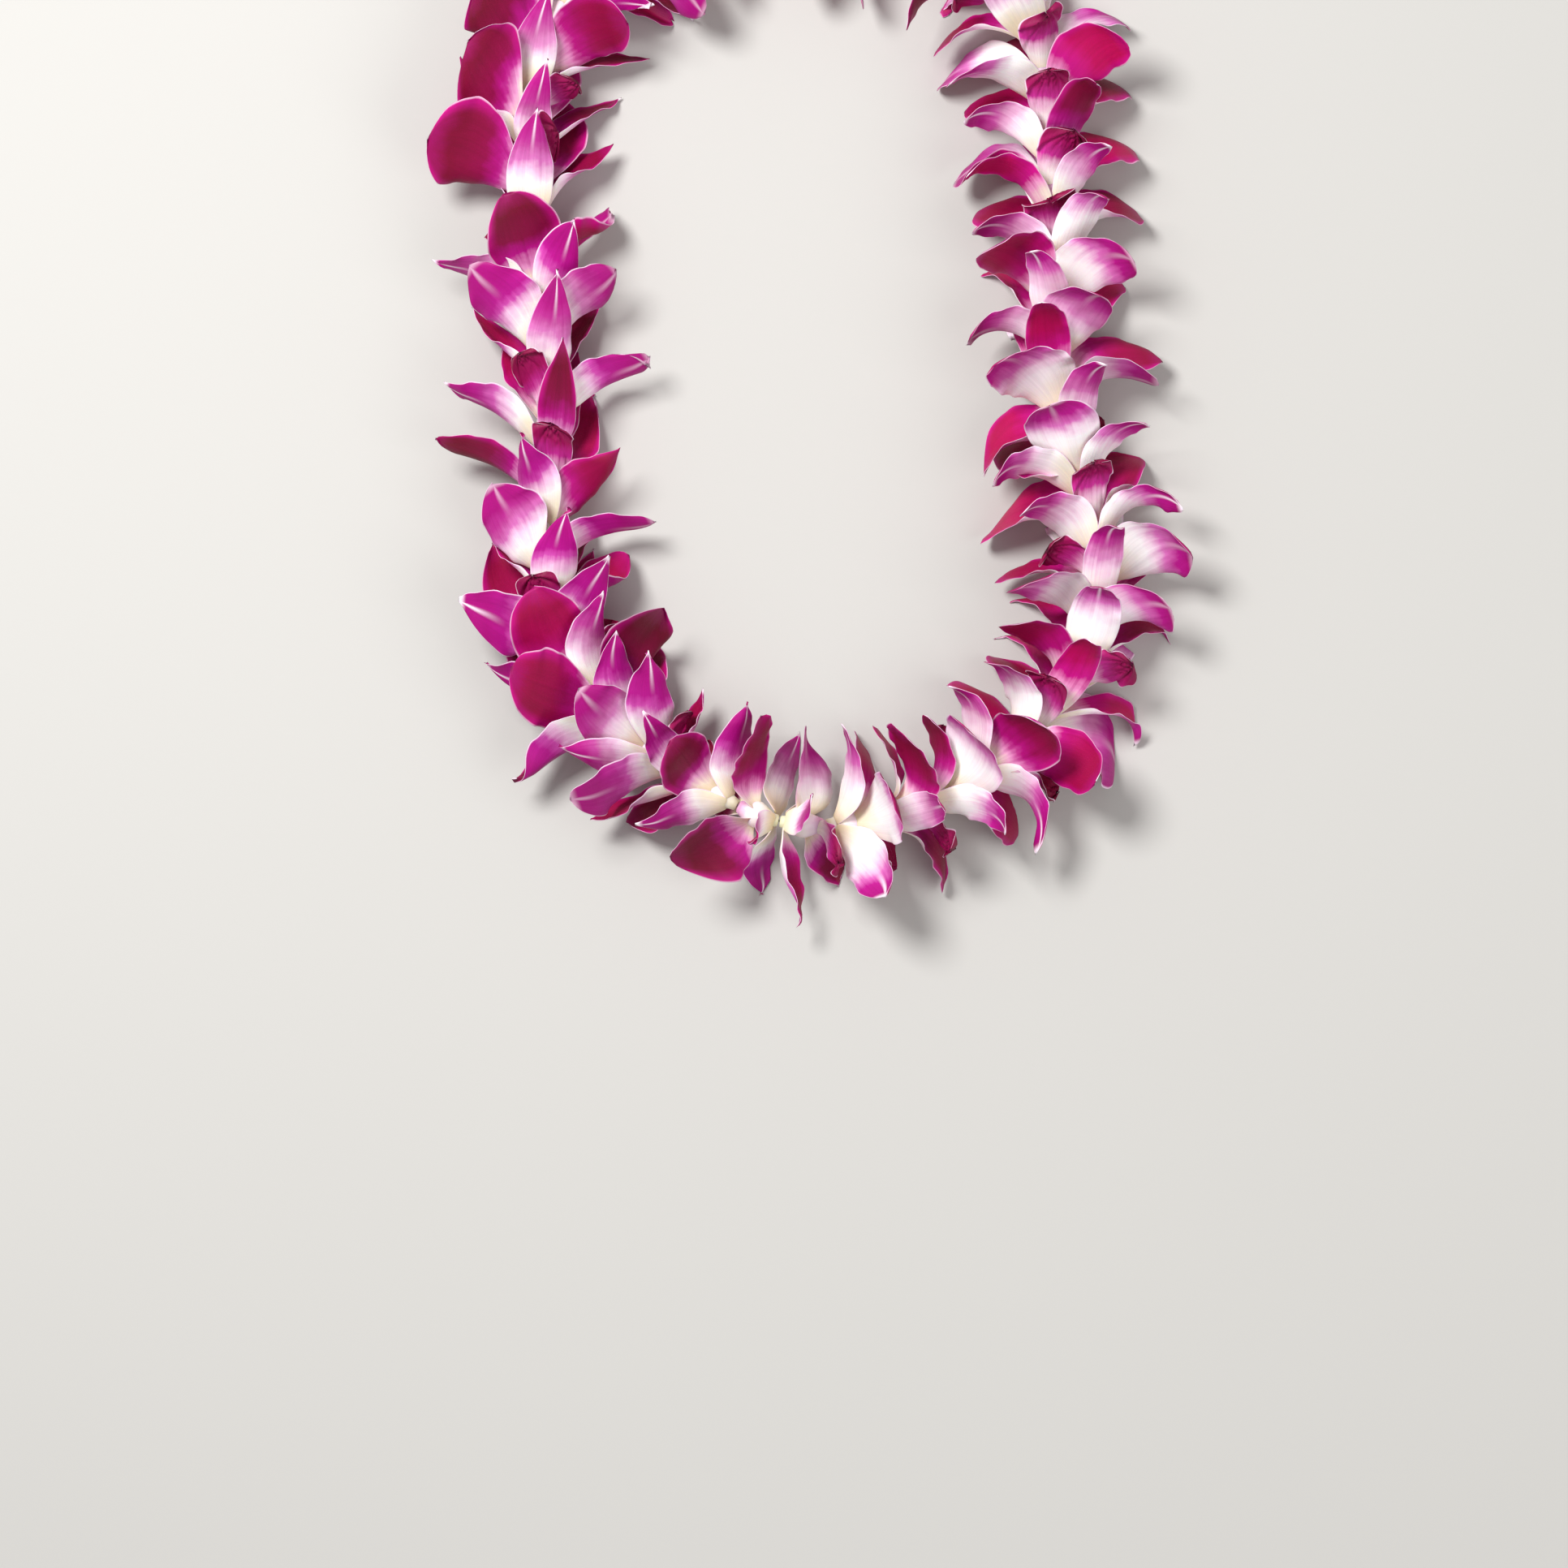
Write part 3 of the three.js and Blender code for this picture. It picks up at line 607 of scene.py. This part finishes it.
def core_of(bloom):
    """The tube as a closed mesh in strand space."""
    profile = CORE_PROFILE + [(1, BORE_RADIUS), (-1, BORE_RADIUS)]
    share, radius = np.array(profile).T[..., None]
    theta = np.linspace(0, math.tau, CORE_SIDES, endpoint=False)[None, :]
    forward = np.where(share > 0, bloom.front, bloom.back) - CORE_GAP / 2
    forward = share * forward + 0 * theta
    rings = len(profile)
    ring, side = np.meshgrid(np.arange(rings), np.arange(CORE_SIDES), indexing="ij")
    corner = lambda i, j: (i % rings) * CORE_SIDES + j % CORE_SIDES
    quads = np.stack([corner(ring, side), corner(ring, side + 1),
                      corner(ring + 1, side + 1), corner(ring + 1, side)], -1)
    spots = np.stack([radius * np.cos(theta), forward, radius * np.sin(theta)], -1)
    return SimpleNamespace(
        spots=spots.reshape(-1, 3),
        quads=quads.reshape(-1, 4),
        along=np.repeat((share[:, 0] + 1) / 2, CORE_SIDES),
        across=0,
        thickness=0,
        tone=draw(bloom.number, 0, "tone"),
        turned=0,
        pale=0,
        warm=0,
        rib=0,
        organ=0,
    )


def bloom_mesh(bloom):
    """All organs of a bloom in strand space, in metres, as one mesh with its attributes."""
    parts = [core_of(bloom)]
    parts += [sheet_of(bloom, organ, i + 1) for i, organ in enumerate(ORGANS)]
    first = np.cumsum([0] + [len(part.spots) for part in parts])
    mesh = bpy.data.meshes.new("bloom")
    faces = np.concatenate([part.quads + start for part, start in zip(parts, first)])
    mesh.from_pydata(np.concatenate([part.spots for part in parts]) * MM, [], faces.tolist())
    for name in ("along", "across", "thickness", "tone", "turned", "pale", "warm", "rib"):
        values = [getattr(part, name) + np.zeros(len(part.spots)) for part in parts]
        attribute = mesh.attributes.new(name, "FLOAT", "POINT")
        attribute.data.foreach_set("value", np.concatenate(values))
    kinds = np.concatenate([np.full(len(part.quads), part.organ) for part in parts])
    mesh.attributes.new("organ", "INT", "FACE").data.foreach_set("value", kinds)
    return mesh


# ---- The flesh of the petals, sepals and lips ----
# Orchid flesh is a waxy skin of fine domed cells over watery tissue: satin, a little
# translucent, and coloured by pigment that runs along the veins from a cream and white base.

CELL = 0.5  # size of the glints of the skin's cells, coarser than the real 0.05
CELL_ROUGHNESS = (0.4, 0.2)  # the least of the skin, and what its cells add
CELL_HEIGHT = 0.7  # of the skin's relief, and the height of the veins beside it
VEIN_HEIGHT = 0.9
RELIEF = 0.15
BLOTCH = 9.0  # size of the places where the pigment runs further or less far
BLOTCH_STRAY = 0.24  # how far it strays there, as a share of the organ's length
TONE_STRAY = 0.05  # how far it strays from organ to organ
TONE_SEED = 9.0  # sets the veins of one organ apart from those of the next
FINE_VEINS = 3.4  # how many of the finest veins lie beside each of the others
VEIN_SHADE = 0.24  # how much darker the veins are
FINE_VEIN_SHADE = 0.2
TONE_SHADE = 0.09
WHITE_RIB = 0xFBE9F6
RIB_HALF = 0.16  # share of half the width, over which the midrib's white fades
RIB_SHOWS = (0.55, 0.96)  # shares of the length between which the midrib turns white
TIP_SHOWS = (0.93, 0.99)  # and the whole tip
RIM = (0.62, 0.99)  # shares of half the width between which an inner face turns to its rim
RIM_COLOUR = 0.85
RIM_FROM = (0.25, 0.55)  # shares of the length between which the rim's colour sets in
# The thin margin is painted paler: partly the flower's own pale rim, partly a painted edge
# highlight.
PALE_MARGIN_AND_HIGHLIGHT = 0xF6D9EE
MARGIN_AND_HIGHLIGHT_BAND = (0.94, 0.985)  # shares of half the width over which the pale margin and its painted edge highlight set in
MARGIN_AND_HIGHLIGHT_OUTSIDE = 0.85  # how pale the margin and its painted edge highlight are there on the outer face
MARGIN_AND_HIGHLIGHT_INSIDE = 0.5


def flesh(name, deep, pale, inside, warm, margin, veins, streaks):
    """Waxy orchid flesh. deep and pale colour the outside of an organ from root to tip,
    inside and warm its inside, which has a rim of the colour margin. veins: how many lie
    on either side of the middle. streaks: how far the pigment runs ahead along them."""
    material = bpy.data.materials.new(name)
    material.use_nodes = True
    tree = material.node_tree
    shader = tree.nodes["Principled BSDF"].inputs
    along, across, tone, paleness, warmth, rib, turned, side = (
        add(tree, "ShaderNodeAttribute", attribute_name=attribute)["Fac"]
        for attribute in ("along", "across", "tone", "pale", "warm", "rib", "turned", "inner")
    )
    side = add(tree, "ShaderNodeMath", {0: side, 1: turned}, operation="SUBTRACT")[0]
    inner = add(tree, "ShaderNodeMath", {0: side}, operation="ABSOLUTE")[0]
    spot = add(tree, "ShaderNodeTexCoord")["Object"]

    # The veins run along the organ and fan out in it, and the pigment follows them.
    lane = add(tree, "ShaderNodeMath", {0: across, 1: veins}, operation="MULTIPLY")[0]
    own = add(tree, "ShaderNodeMath", {0: tone, 1: TONE_SEED}, operation="MULTIPLY")[0]
    strip = add(tree, "ShaderNodeCombineXYZ", {0: lane, 1: along, 2: own})[0]
    vein = add(tree, "ShaderNodeTexNoise", {"Vector": strip, "Scale": 1.0, "Detail": 3.0})[0]
    blotch = add(tree, "ShaderNodeTexNoise",
                 {"Vector": spot, "Scale": 1 / (BLOTCH * MM), "Detail": 3.0})[0]
    reach = along
    for cause, stray in ((vein, streaks), (blotch, BLOTCH_STRAY), (tone, TONE_STRAY)):
        reach = add(tree, "ShaderNodeMath", {0: cause, 1: stray, 2: reach},
                    operation="MULTIPLY_ADD")[0]
    reach = add(tree, "ShaderNodeMath", {0: reach, 1: BLOTCH_STRAY / 2 + streaks / 2},
                operation="SUBTRACT")[0]

    # The outer face, with the white that the midrib of a tepal ends in.
    edge = add(tree, "ShaderNodeMath", {0: across}, operation="ABSOLUTE")[0]
    deeply = add(tree, "ShaderNodeValToRGB", {0: reach}, stops=deep)[0]
    palely = add(tree, "ShaderNodeValToRGB", {0: reach}, stops=pale)[0]
    outside = add(tree, "ShaderNodeMix", {0: paleness, 6: deeply, 7: palely},
                  data_type="RGBA")[2]
    near_rib = add(tree, "ShaderNodeMapRange", {0: edge, 1: 0.0, 2: RIB_HALF, 3: 1.0, 4: 0.0},
                   interpolation_type="SMOOTHSTEP")[0]
    near_tip = add(tree, "ShaderNodeMapRange", {0: along, 1: RIB_SHOWS[0], 2: RIB_SHOWS[1]},
                   interpolation_type="SMOOTHSTEP")[0]
    streak = add(tree, "ShaderNodeMath", {0: near_rib, 1: near_tip}, operation="MULTIPLY")[0]
    at_tip = add(tree, "ShaderNodeMapRange", {0: along, 1: TIP_SHOWS[0], 2: TIP_SHOWS[1]},
                 interpolation_type="SMOOTHSTEP")[0]
    streak = add(tree, "ShaderNodeMath", {0: streak, 1: at_tip}, operation="MAXIMUM")[0]
    streak = add(tree, "ShaderNodeMath", {0: streak, 1: rib}, operation="MULTIPLY")[0]
    outside = add(tree, "ShaderNodeMix", {0: streak, 6: outside, 7: linear(WHITE_RIB)},
                  data_type="RGBA")[2]

    # The inner face, darkest along its middle.
    darkly = add(tree, "ShaderNodeValToRGB", {0: reach}, stops=inside)[0]
    warmly = add(tree, "ShaderNodeValToRGB", {0: reach}, stops=warm)[0]
    inside = add(tree, "ShaderNodeMix", {0: warmth, 6: darkly, 7: warmly}, data_type="RGBA")[2]
    rim = add(tree, "ShaderNodeMapRange", {0: edge, 1: RIM[0], 2: RIM[1], 4: RIM_COLOUR},
              interpolation_type="SMOOTHSTEP")[0]
    coloured = add(tree, "ShaderNodeMapRange", {0: reach, 1: RIM_FROM[0], 2: RIM_FROM[1]},
                   interpolation_type="SMOOTHSTEP")[0]
    rim = add(tree, "ShaderNodeMath", {0: rim, 1: coloured}, operation="MULTIPLY")[0]
    inside = add(tree, "ShaderNodeMix", {0: rim, 6: inside, 7: linear(margin)},
                 data_type="RGBA")[2]

    # Both have a thin pale margin, partly own colour and partly a painted edge highlight, and are
    # darker along their veins.
    colour = add(tree, "ShaderNodeMix", {0: inner, 6: outside, 7: inside}, data_type="RGBA")[2]
    margin_and_highlight_strength = add(tree, "ShaderNodeMath",
                 {0: inner, 1: MARGIN_AND_HIGHLIGHT_INSIDE - MARGIN_AND_HIGHLIGHT_OUTSIDE, 2: MARGIN_AND_HIGHLIGHT_OUTSIDE},
                 operation="MULTIPLY_ADD")[0]
    margin_and_highlight = add(tree, "ShaderNodeMapRange",
               {0: edge, 1: MARGIN_AND_HIGHLIGHT_BAND[0], 2: MARGIN_AND_HIGHLIGHT_BAND[1], 4: margin_and_highlight_strength},
               interpolation_type="SMOOTHSTEP")[0]
    colour = add(tree, "ShaderNodeMix", {0: margin_and_highlight, 6: colour, 7: linear(PALE_MARGIN_AND_HIGHLIGHT)},
                 data_type="RGBA")[2]
    fine_lane = add(tree, "ShaderNodeMath", {0: lane, 1: FINE_VEINS}, operation="MULTIPLY")[0]
    fine_strip = add(tree, "ShaderNodeCombineXYZ", {0: fine_lane, 1: along, 2: own})[0]
    fine_vein = add(tree, "ShaderNodeTexNoise",
                    {"Vector": fine_strip, "Scale": 1.0, "Detail": 2.0})[0]
    light = 1 + (VEIN_SHADE + FINE_VEIN_SHADE) / 2
    for cause, shade in ((vein, -VEIN_SHADE), (fine_vein, -FINE_VEIN_SHADE), (tone, TONE_SHADE)):
        light = add(tree, "ShaderNodeMath", {0: cause, 1: shade, 2: light},
                    operation="MULTIPLY_ADD")[0]
    toned = add(tree, "ShaderNodeHueSaturation", {"Value": light, "Color": colour})[0]
    tree.links.new(toned, shader["Base Color"])

    # The skin's cells scatter its gloss, and the veins stand a little proud.
    cells = add(tree, "ShaderNodeTexNoise",
                {"Vector": spot, "Scale": 1 / (CELL * MM), "Detail": 2.0})[0]
    rough = add(tree, "ShaderNodeMath", {0: cells, 1: CELL_ROUGHNESS[1], 2: CELL_ROUGHNESS[0]},
                operation="MULTIPLY_ADD")[0]
    tree.links.new(rough, shader["Roughness"])
    skin = add(tree, "ShaderNodeMath", {0: cells, 1: CELL_HEIGHT}, operation="MULTIPLY")[0]
    skin = add(tree, "ShaderNodeMath", {0: vein, 1: VEIN_HEIGHT, 2: skin},
               operation="MULTIPLY_ADD")[0]
    bump = add(tree, "ShaderNodeBump",
               {"Height": skin, "Distance": RELIEF * MM, "Strength": 0.6})[0]
    tree.links.new(bump, shader["Normal"])
    shader["Subsurface Weight"].default_value = 0.15
    shader["Subsurface Radius"].default_value = (1.0, 0.3, 0.6)
    shader["Subsurface Scale"].default_value = 1.2 * MM
    shader["Specular IOR Level"].default_value = 0.22
    return material


tepal_flesh = flesh(
    "tepal_flesh",
    deep=[(0.0, 0xE4D8B0), (0.16, 0xF4EAD0), (0.3, 0xFFFAF6), (0.41, 0xF3C4E4), (0.51, 0xCC4CAC),
          (0.6, 0xB4148A), (0.78, 0xAA087A), (1.0, 0x9E0670)],
    pale=[(0.0, 0xE4D8B0), (0.18, 0xF6EED6), (0.36, 0xFFFCFA), (0.46, 0xFFFAFC), (0.55, 0xFBE0F0),
          (0.67, 0xDC74C0), (0.8, 0xB81A8C), (1.0, 0xA0086C)],
    inside=[(0.0, 0xE0D0A0), (0.1, 0xF6ECD6), (0.22, 0xEAA0D2), (0.33, 0xB41086), (0.5, 0x80053C),
            (0.8, 0x6E0528), (1.0, 0x900A56)],
    warm=[(0.0, 0xE0D0A0), (0.14, 0xF8F0DC), (0.28, 0xEE9CCC), (0.38, 0xC41284), (0.6, 0xB00454),
          (0.85, 0xA60448), (1.0, 0xAE086C)],
    margin=0xBC087E, veins=8.0, streaks=0.1,
)
lip_flesh = flesh(
    "lip_flesh",
    deep=[(0.0, 0xF0EAD0), (0.2, 0xFBF6F0), (0.38, 0xEAA9D0), (0.5, 0xBC2A8E), (0.72, 0x9A0F55),
          (1.0, 0x7C0A3C)],
    pale=[(0.0, 0xF0EAD0), (0.25, 0xFDF9F5), (0.45, 0xEDBAD8), (0.58, 0xC63397), (0.78, 0xA3125F),
          (1.0, 0x7C0A3C)],
    inside=[(0.0, 0xE6D3A0), (0.25, 0xF1E4C8), (0.36, 0xD99BB0), (0.43, 0x94104E),
            (0.65, 0x6E0825), (1.0, 0x780A33)],
    warm=[(0.0, 0xE6D3A0), (0.28, 0xF5E8D2), (0.4, 0xDB7DB0), (0.5, 0xA8135F), (0.75, 0x86093A),
          (1.0, 0x8C0C44)],
    margin=0x8E0F48, veins=11.0, streaks=0.14,
)

# The ovary is cream with a breath of green, and the column above it white, flushed with pink.
CORE_BLOTCH = 3.0
core_flesh = bpy.data.materials.new("ovary_flesh")
core_flesh.use_nodes = True
tree = core_flesh.node_tree
shader = tree.nodes["Principled BSDF"].inputs
spot = add(tree, "ShaderNodeTexCoord")["Object"]
along = add(tree, "ShaderNodeAttribute", attribute_name="along")["Fac"]
blotch = add(tree, "ShaderNodeTexNoise", {"Vector": spot, "Scale": 1 / (CORE_BLOTCH * MM)})[0]
reach = add(tree, "ShaderNodeMath", {0: blotch, 1: 0.2, 2: along}, operation="MULTIPLY_ADD")[0]
shade = add(tree, "ShaderNodeValToRGB", {0: reach},
            stops=[(0.1, 0xDBDCB8), (0.35, 0xF0ECD6), (0.6, 0xFBF7F0), (0.85, 0xF6E2EE),
                   (1.0, 0xDDA0C8)])[0]
tree.links.new(shade, shader["Base Color"])
shader["Roughness"].default_value = 0.42
shader["Subsurface Weight"].default_value = 0.3
shader["Subsurface Radius"].default_value = (1.0, 0.8, 0.5)
shader["Subsurface Scale"].default_value = 1.5 * MM

# ---- Threading the blooms on ----
# Each bloom is pushed along the thread to its place, turns with the thread and rests its
# lowest petals on the table. Its organs get their thickness there.

threaded = bpy.data.node_groups.new("threaded_bloom", "GeometryNodeTree")
given = inputs_of(
    threaded, ("Thread", "Object"), ("Distance along", "Float"), ("Facing", "Float"),
    ("Floor ease", "Float"), ("Half thickness", "Float"), ("Tepal flesh", "Material"),
    ("Lip flesh", "Material"), ("Ovary flesh", "Material"),
)
route = add(threaded, "GeometryNodeObjectInfo", {"Object": given["Thread"]})["Geometry"]
route = add(threaded, "GeometryNodeCurveSplineType", {"Curve": route},
            spline_type="CATMULL_ROM")[0]
route = add(threaded, "GeometryNodeSetSplineResolution",
            {"Geometry": route, "Resolution": SAMPLES_PER_SPAN})[0]
strand = add(threaded, "GeometryNodeInputPosition")[0]
strand = add(threaded, "ShaderNodeSeparateXYZ", {0: strand})
out = add(threaded, "ShaderNodeMath", {0: strand["X"], 1: given["Facing"]},
          operation="MULTIPLY")[0]
along = add(threaded, "ShaderNodeMath",
            {0: strand["Y"], 1: given["Facing"], 2: given["Distance along"]},
            operation="MULTIPLY_ADD")[0]
round_loop = add(threaded, "GeometryNodeCurveLength", {"Curve": route})[0]
along = add(threaded, "ShaderNodeMath", {0: along, 1: round_loop}, operation="FLOORED_MODULO")[0]
on_thread = add(threaded, "GeometryNodeSampleCurve", {"Curves": route, "Length": along},
                mode="LENGTH")
outward = add(threaded, "ShaderNodeVectorMath", {0: (0, 0, 1), 1: on_thread["Tangent"]},
              operation="CROSS_PRODUCT")[0]
sideways = add(threaded, "ShaderNodeVectorMath", {0: outward, "Scale": out}, operation="SCALE")[0]
upward = add(threaded, "ShaderNodeCombineXYZ", {"Z": strand["Z"]})[0]
spot = add(threaded, "ShaderNodeVectorMath", {0: on_thread["Position"], 1: sideways},
           operation="ADD")[0]
spot = add(threaded, "ShaderNodeVectorMath", {0: spot, 1: upward}, operation="ADD")[0]
spot = add(threaded, "ShaderNodeSeparateXYZ", {0: spot})

# What would reach below the table is pressed flat, with a soft bend above it.
height = add(threaded, "ShaderNodeMath", {0: spot["Z"], 1: given["Half thickness"]},
             operation="SUBTRACT")[0]
below = add(threaded, "ShaderNodeMath", {0: given["Floor ease"], 1: -1.0},
            operation="MULTIPLY")[0]
eased = add(threaded, "ShaderNodeMapRange", {0: height, 1: below, 2: given["Floor ease"]})[0]
eased = add(threaded, "ShaderNodeMath", {0: eased, 1: eased}, operation="MULTIPLY")[0]
above = add(threaded, "ShaderNodeMath", {0: height, 1: given["Floor ease"]},
            operation="SUBTRACT")[0]
above = add(threaded, "ShaderNodeMath", {0: above, 1: 0.0}, operation="MAXIMUM")[0]
height = add(threaded, "ShaderNodeMath", {0: eased, 1: given["Floor ease"], 2: above},
             operation="MULTIPLY_ADD")[0]
height = add(threaded, "ShaderNodeMath", {0: height, 1: given["Half thickness"]},
             operation="ADD")[0]
spot = add(threaded, "ShaderNodeCombineXYZ", {0: spot["X"], 1: spot["Y"], 2: height})[0]
laid = add(threaded, "GeometryNodeSetPosition", {0: given["Geometry"], "Position": spot})[0]

# The two faces of each blade, half its thickness out from its middle surface.
WELD = 0.001  # the faces of an organ meet exactly at its margin
organ = add(threaded, "GeometryNodeInputNamedAttribute", {"Name": "organ"}, data_type="INT")[0]
is_blade = add(threaded, "FunctionNodeCompare", {2: organ, 3: 0}, data_type="INT",
               operation="GREATER_THAN")[0]
split = add(threaded, "GeometryNodeSeparateGeometry", {0: laid, 1: is_blade}, domain="FACE")
thickness = add(threaded, "GeometryNodeInputNamedAttribute", {"Name": "thickness"},
                data_type="FLOAT")[0]
normal = add(threaded, "GeometryNodeInputNormal")[0]
faces = []
for half, inner in ((0.5 * MM, 0.0), (-0.5 * MM, 1.0)):
    lift = add(threaded, "ShaderNodeMath", {0: thickness, 1: half}, operation="MULTIPLY")[0]
    lift = add(threaded, "ShaderNodeVectorMath", {0: normal, "Scale": lift}, operation="SCALE")[0]
    face = add(threaded, "GeometryNodeSetPosition", {0: split["Selection"], "Offset": lift})[0]
    if inner:
        face = add(threaded, "GeometryNodeFlipFaces", {0: face})[0]
    faces.append(add(threaded, "GeometryNodeStoreNamedAttribute",
                     {0: face, "Name": "inner", "Value": inner},
                     data_type="FLOAT", domain="FACE")[0])
both = add(threaded, "GeometryNodeJoinGeometry", {0: faces})[0]
closed = add(threaded, "GeometryNodeMergeByDistance", {0: both, "Distance": WELD * MM})[0]
bloom = add(threaded, "GeometryNodeJoinGeometry", {0: [split["Inverted"], closed]})[0]
bloom = add(threaded, "GeometryNodeSetShadeSmooth", {0: bloom})[0]
bloom = add(threaded, "GeometryNodeRealizeInstances", {0: bloom})[0]
for kind, name in enumerate(("Ovary flesh", "Tepal flesh", "Lip flesh")):
    chosen = add(threaded, "FunctionNodeCompare", {2: organ, 3: kind}, data_type="INT",
                 operation="EQUAL")[0]
    bloom = add(threaded, "GeometryNodeSetMaterial",
                {0: bloom, "Selection": chosen, "Material": given[name]})[0]
add(threaded, "NodeGroupOutput", {0: bloom})

for bloom in blooms:
    name = f"bloom_{bloom.number:02d}"
    piece = grown(f"orchid_{bloom.number:02d}", bloom_mesh(bloom), threaded, {
        "Thread": route_curve,
        "Distance along": bloom.along * MM,
        "Facing": float(bloom.facing),
        "Floor ease": FLOOR_EASE * MM,
        "Half thickness": SOLID_THICKNESS / 2 * MM,
        "Tepal flesh": tepal_flesh,
        "Lip flesh": lip_flesh,
        "Ovary flesh": core_flesh,
    })
    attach(piece, "root")
    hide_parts(name)
bpy.data.objects.remove(route_curve)

# ---- The table, the light and the camera ----
# A pale matt table, a broad soft light from the upper left with a weak one opposite, and a
# long lens straight above.

TABLE_HALF = 4000
TABLE_TOP = -0.2  # just clear of the petals that lie on it
corners = [(-1, -1), (1, -1), (1, 1), (-1, 1)]
table_mesh = bpy.data.meshes.new("table")
table_mesh.from_pydata([(x * TABLE_HALF * MM, y * TABLE_HALF * MM, TABLE_TOP * MM)
                        for x, y in corners], [], [(0, 1, 2, 3)])
table = bpy.data.objects.new("table", table_mesh)
bpy.context.scene.collection.objects.link(table)
pale_paint = bpy.data.materials.new("pale_matt_paint")
pale_paint.use_nodes = True
shader = pale_paint.node_tree.nodes["Principled BSDF"].inputs
shader["Base Color"].default_value = linear(0xBFBDB9)
shader["Roughness"].default_value = 0.8
table_mesh.materials.append(pale_paint)
table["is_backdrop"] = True

ROOM_LIGHT = 0.42
LIGHTS = [  # name, place and width in metres, power in watts
    ("key_light", (-0.55, 0.45, 1.3), 0.5, 25.5),
    ("fill_light", (0.8, -0.5, 1.1), 1.0, 6),
]
world = bpy.data.worlds.new("studio")
bpy.context.scene.world = world
world.use_nodes = True
background = world.node_tree.nodes["Background"].inputs
background["Color"].default_value = (1, 1, 1, 1)
background["Strength"].default_value = ROOM_LIGHT
for name, spot, width, power in LIGHTS:
    light = bpy.data.lights.new(name, "AREA")
    light.shape = "DISK"
    light.size = width
    light.energy = power
    lamp = bpy.data.objects.new(name, light)
    lamp.location = spot
    lamp.rotation_euler = (-Vector(spot)).to_track_quat("-Z", "Y").to_euler()
    bpy.context.scene.collection.objects.link(lamp)

MM_PER_PIXEL = 0.30
PHOTO_PIXELS = 1932
FRAME_CENTRE = (-7.2, -156.3)  # as ROUTE is given: the photo cuts off the back of the loop
CAMERA_HEIGHT = 3000
camera_data = bpy.data.cameras.new("camera")
camera_data.sensor_fit = "HORIZONTAL"
view_angle = 2 * math.atan(MM_PER_PIXEL * PHOTO_PIXELS / 2 / (CAMERA_HEIGHT - THREAD_HEIGHT))
camera_data.angle = view_angle
camera = bpy.data.objects.new("camera", camera_data)
camera.location = [(FRAME_CENTRE[0] + origin[0]) * MM, (FRAME_CENTRE[1] + origin[1]) * MM,
                   CAMERA_HEIGHT * MM]
bpy.context.scene.collection.objects.link(camera)
bpy.context.scene.camera = camera
bpy.context.scene.view_settings.view_transform = "Standard"

visual_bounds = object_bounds()
[[list(corner) for corner in box] for box in (cad_bounds, visual_bounds)]
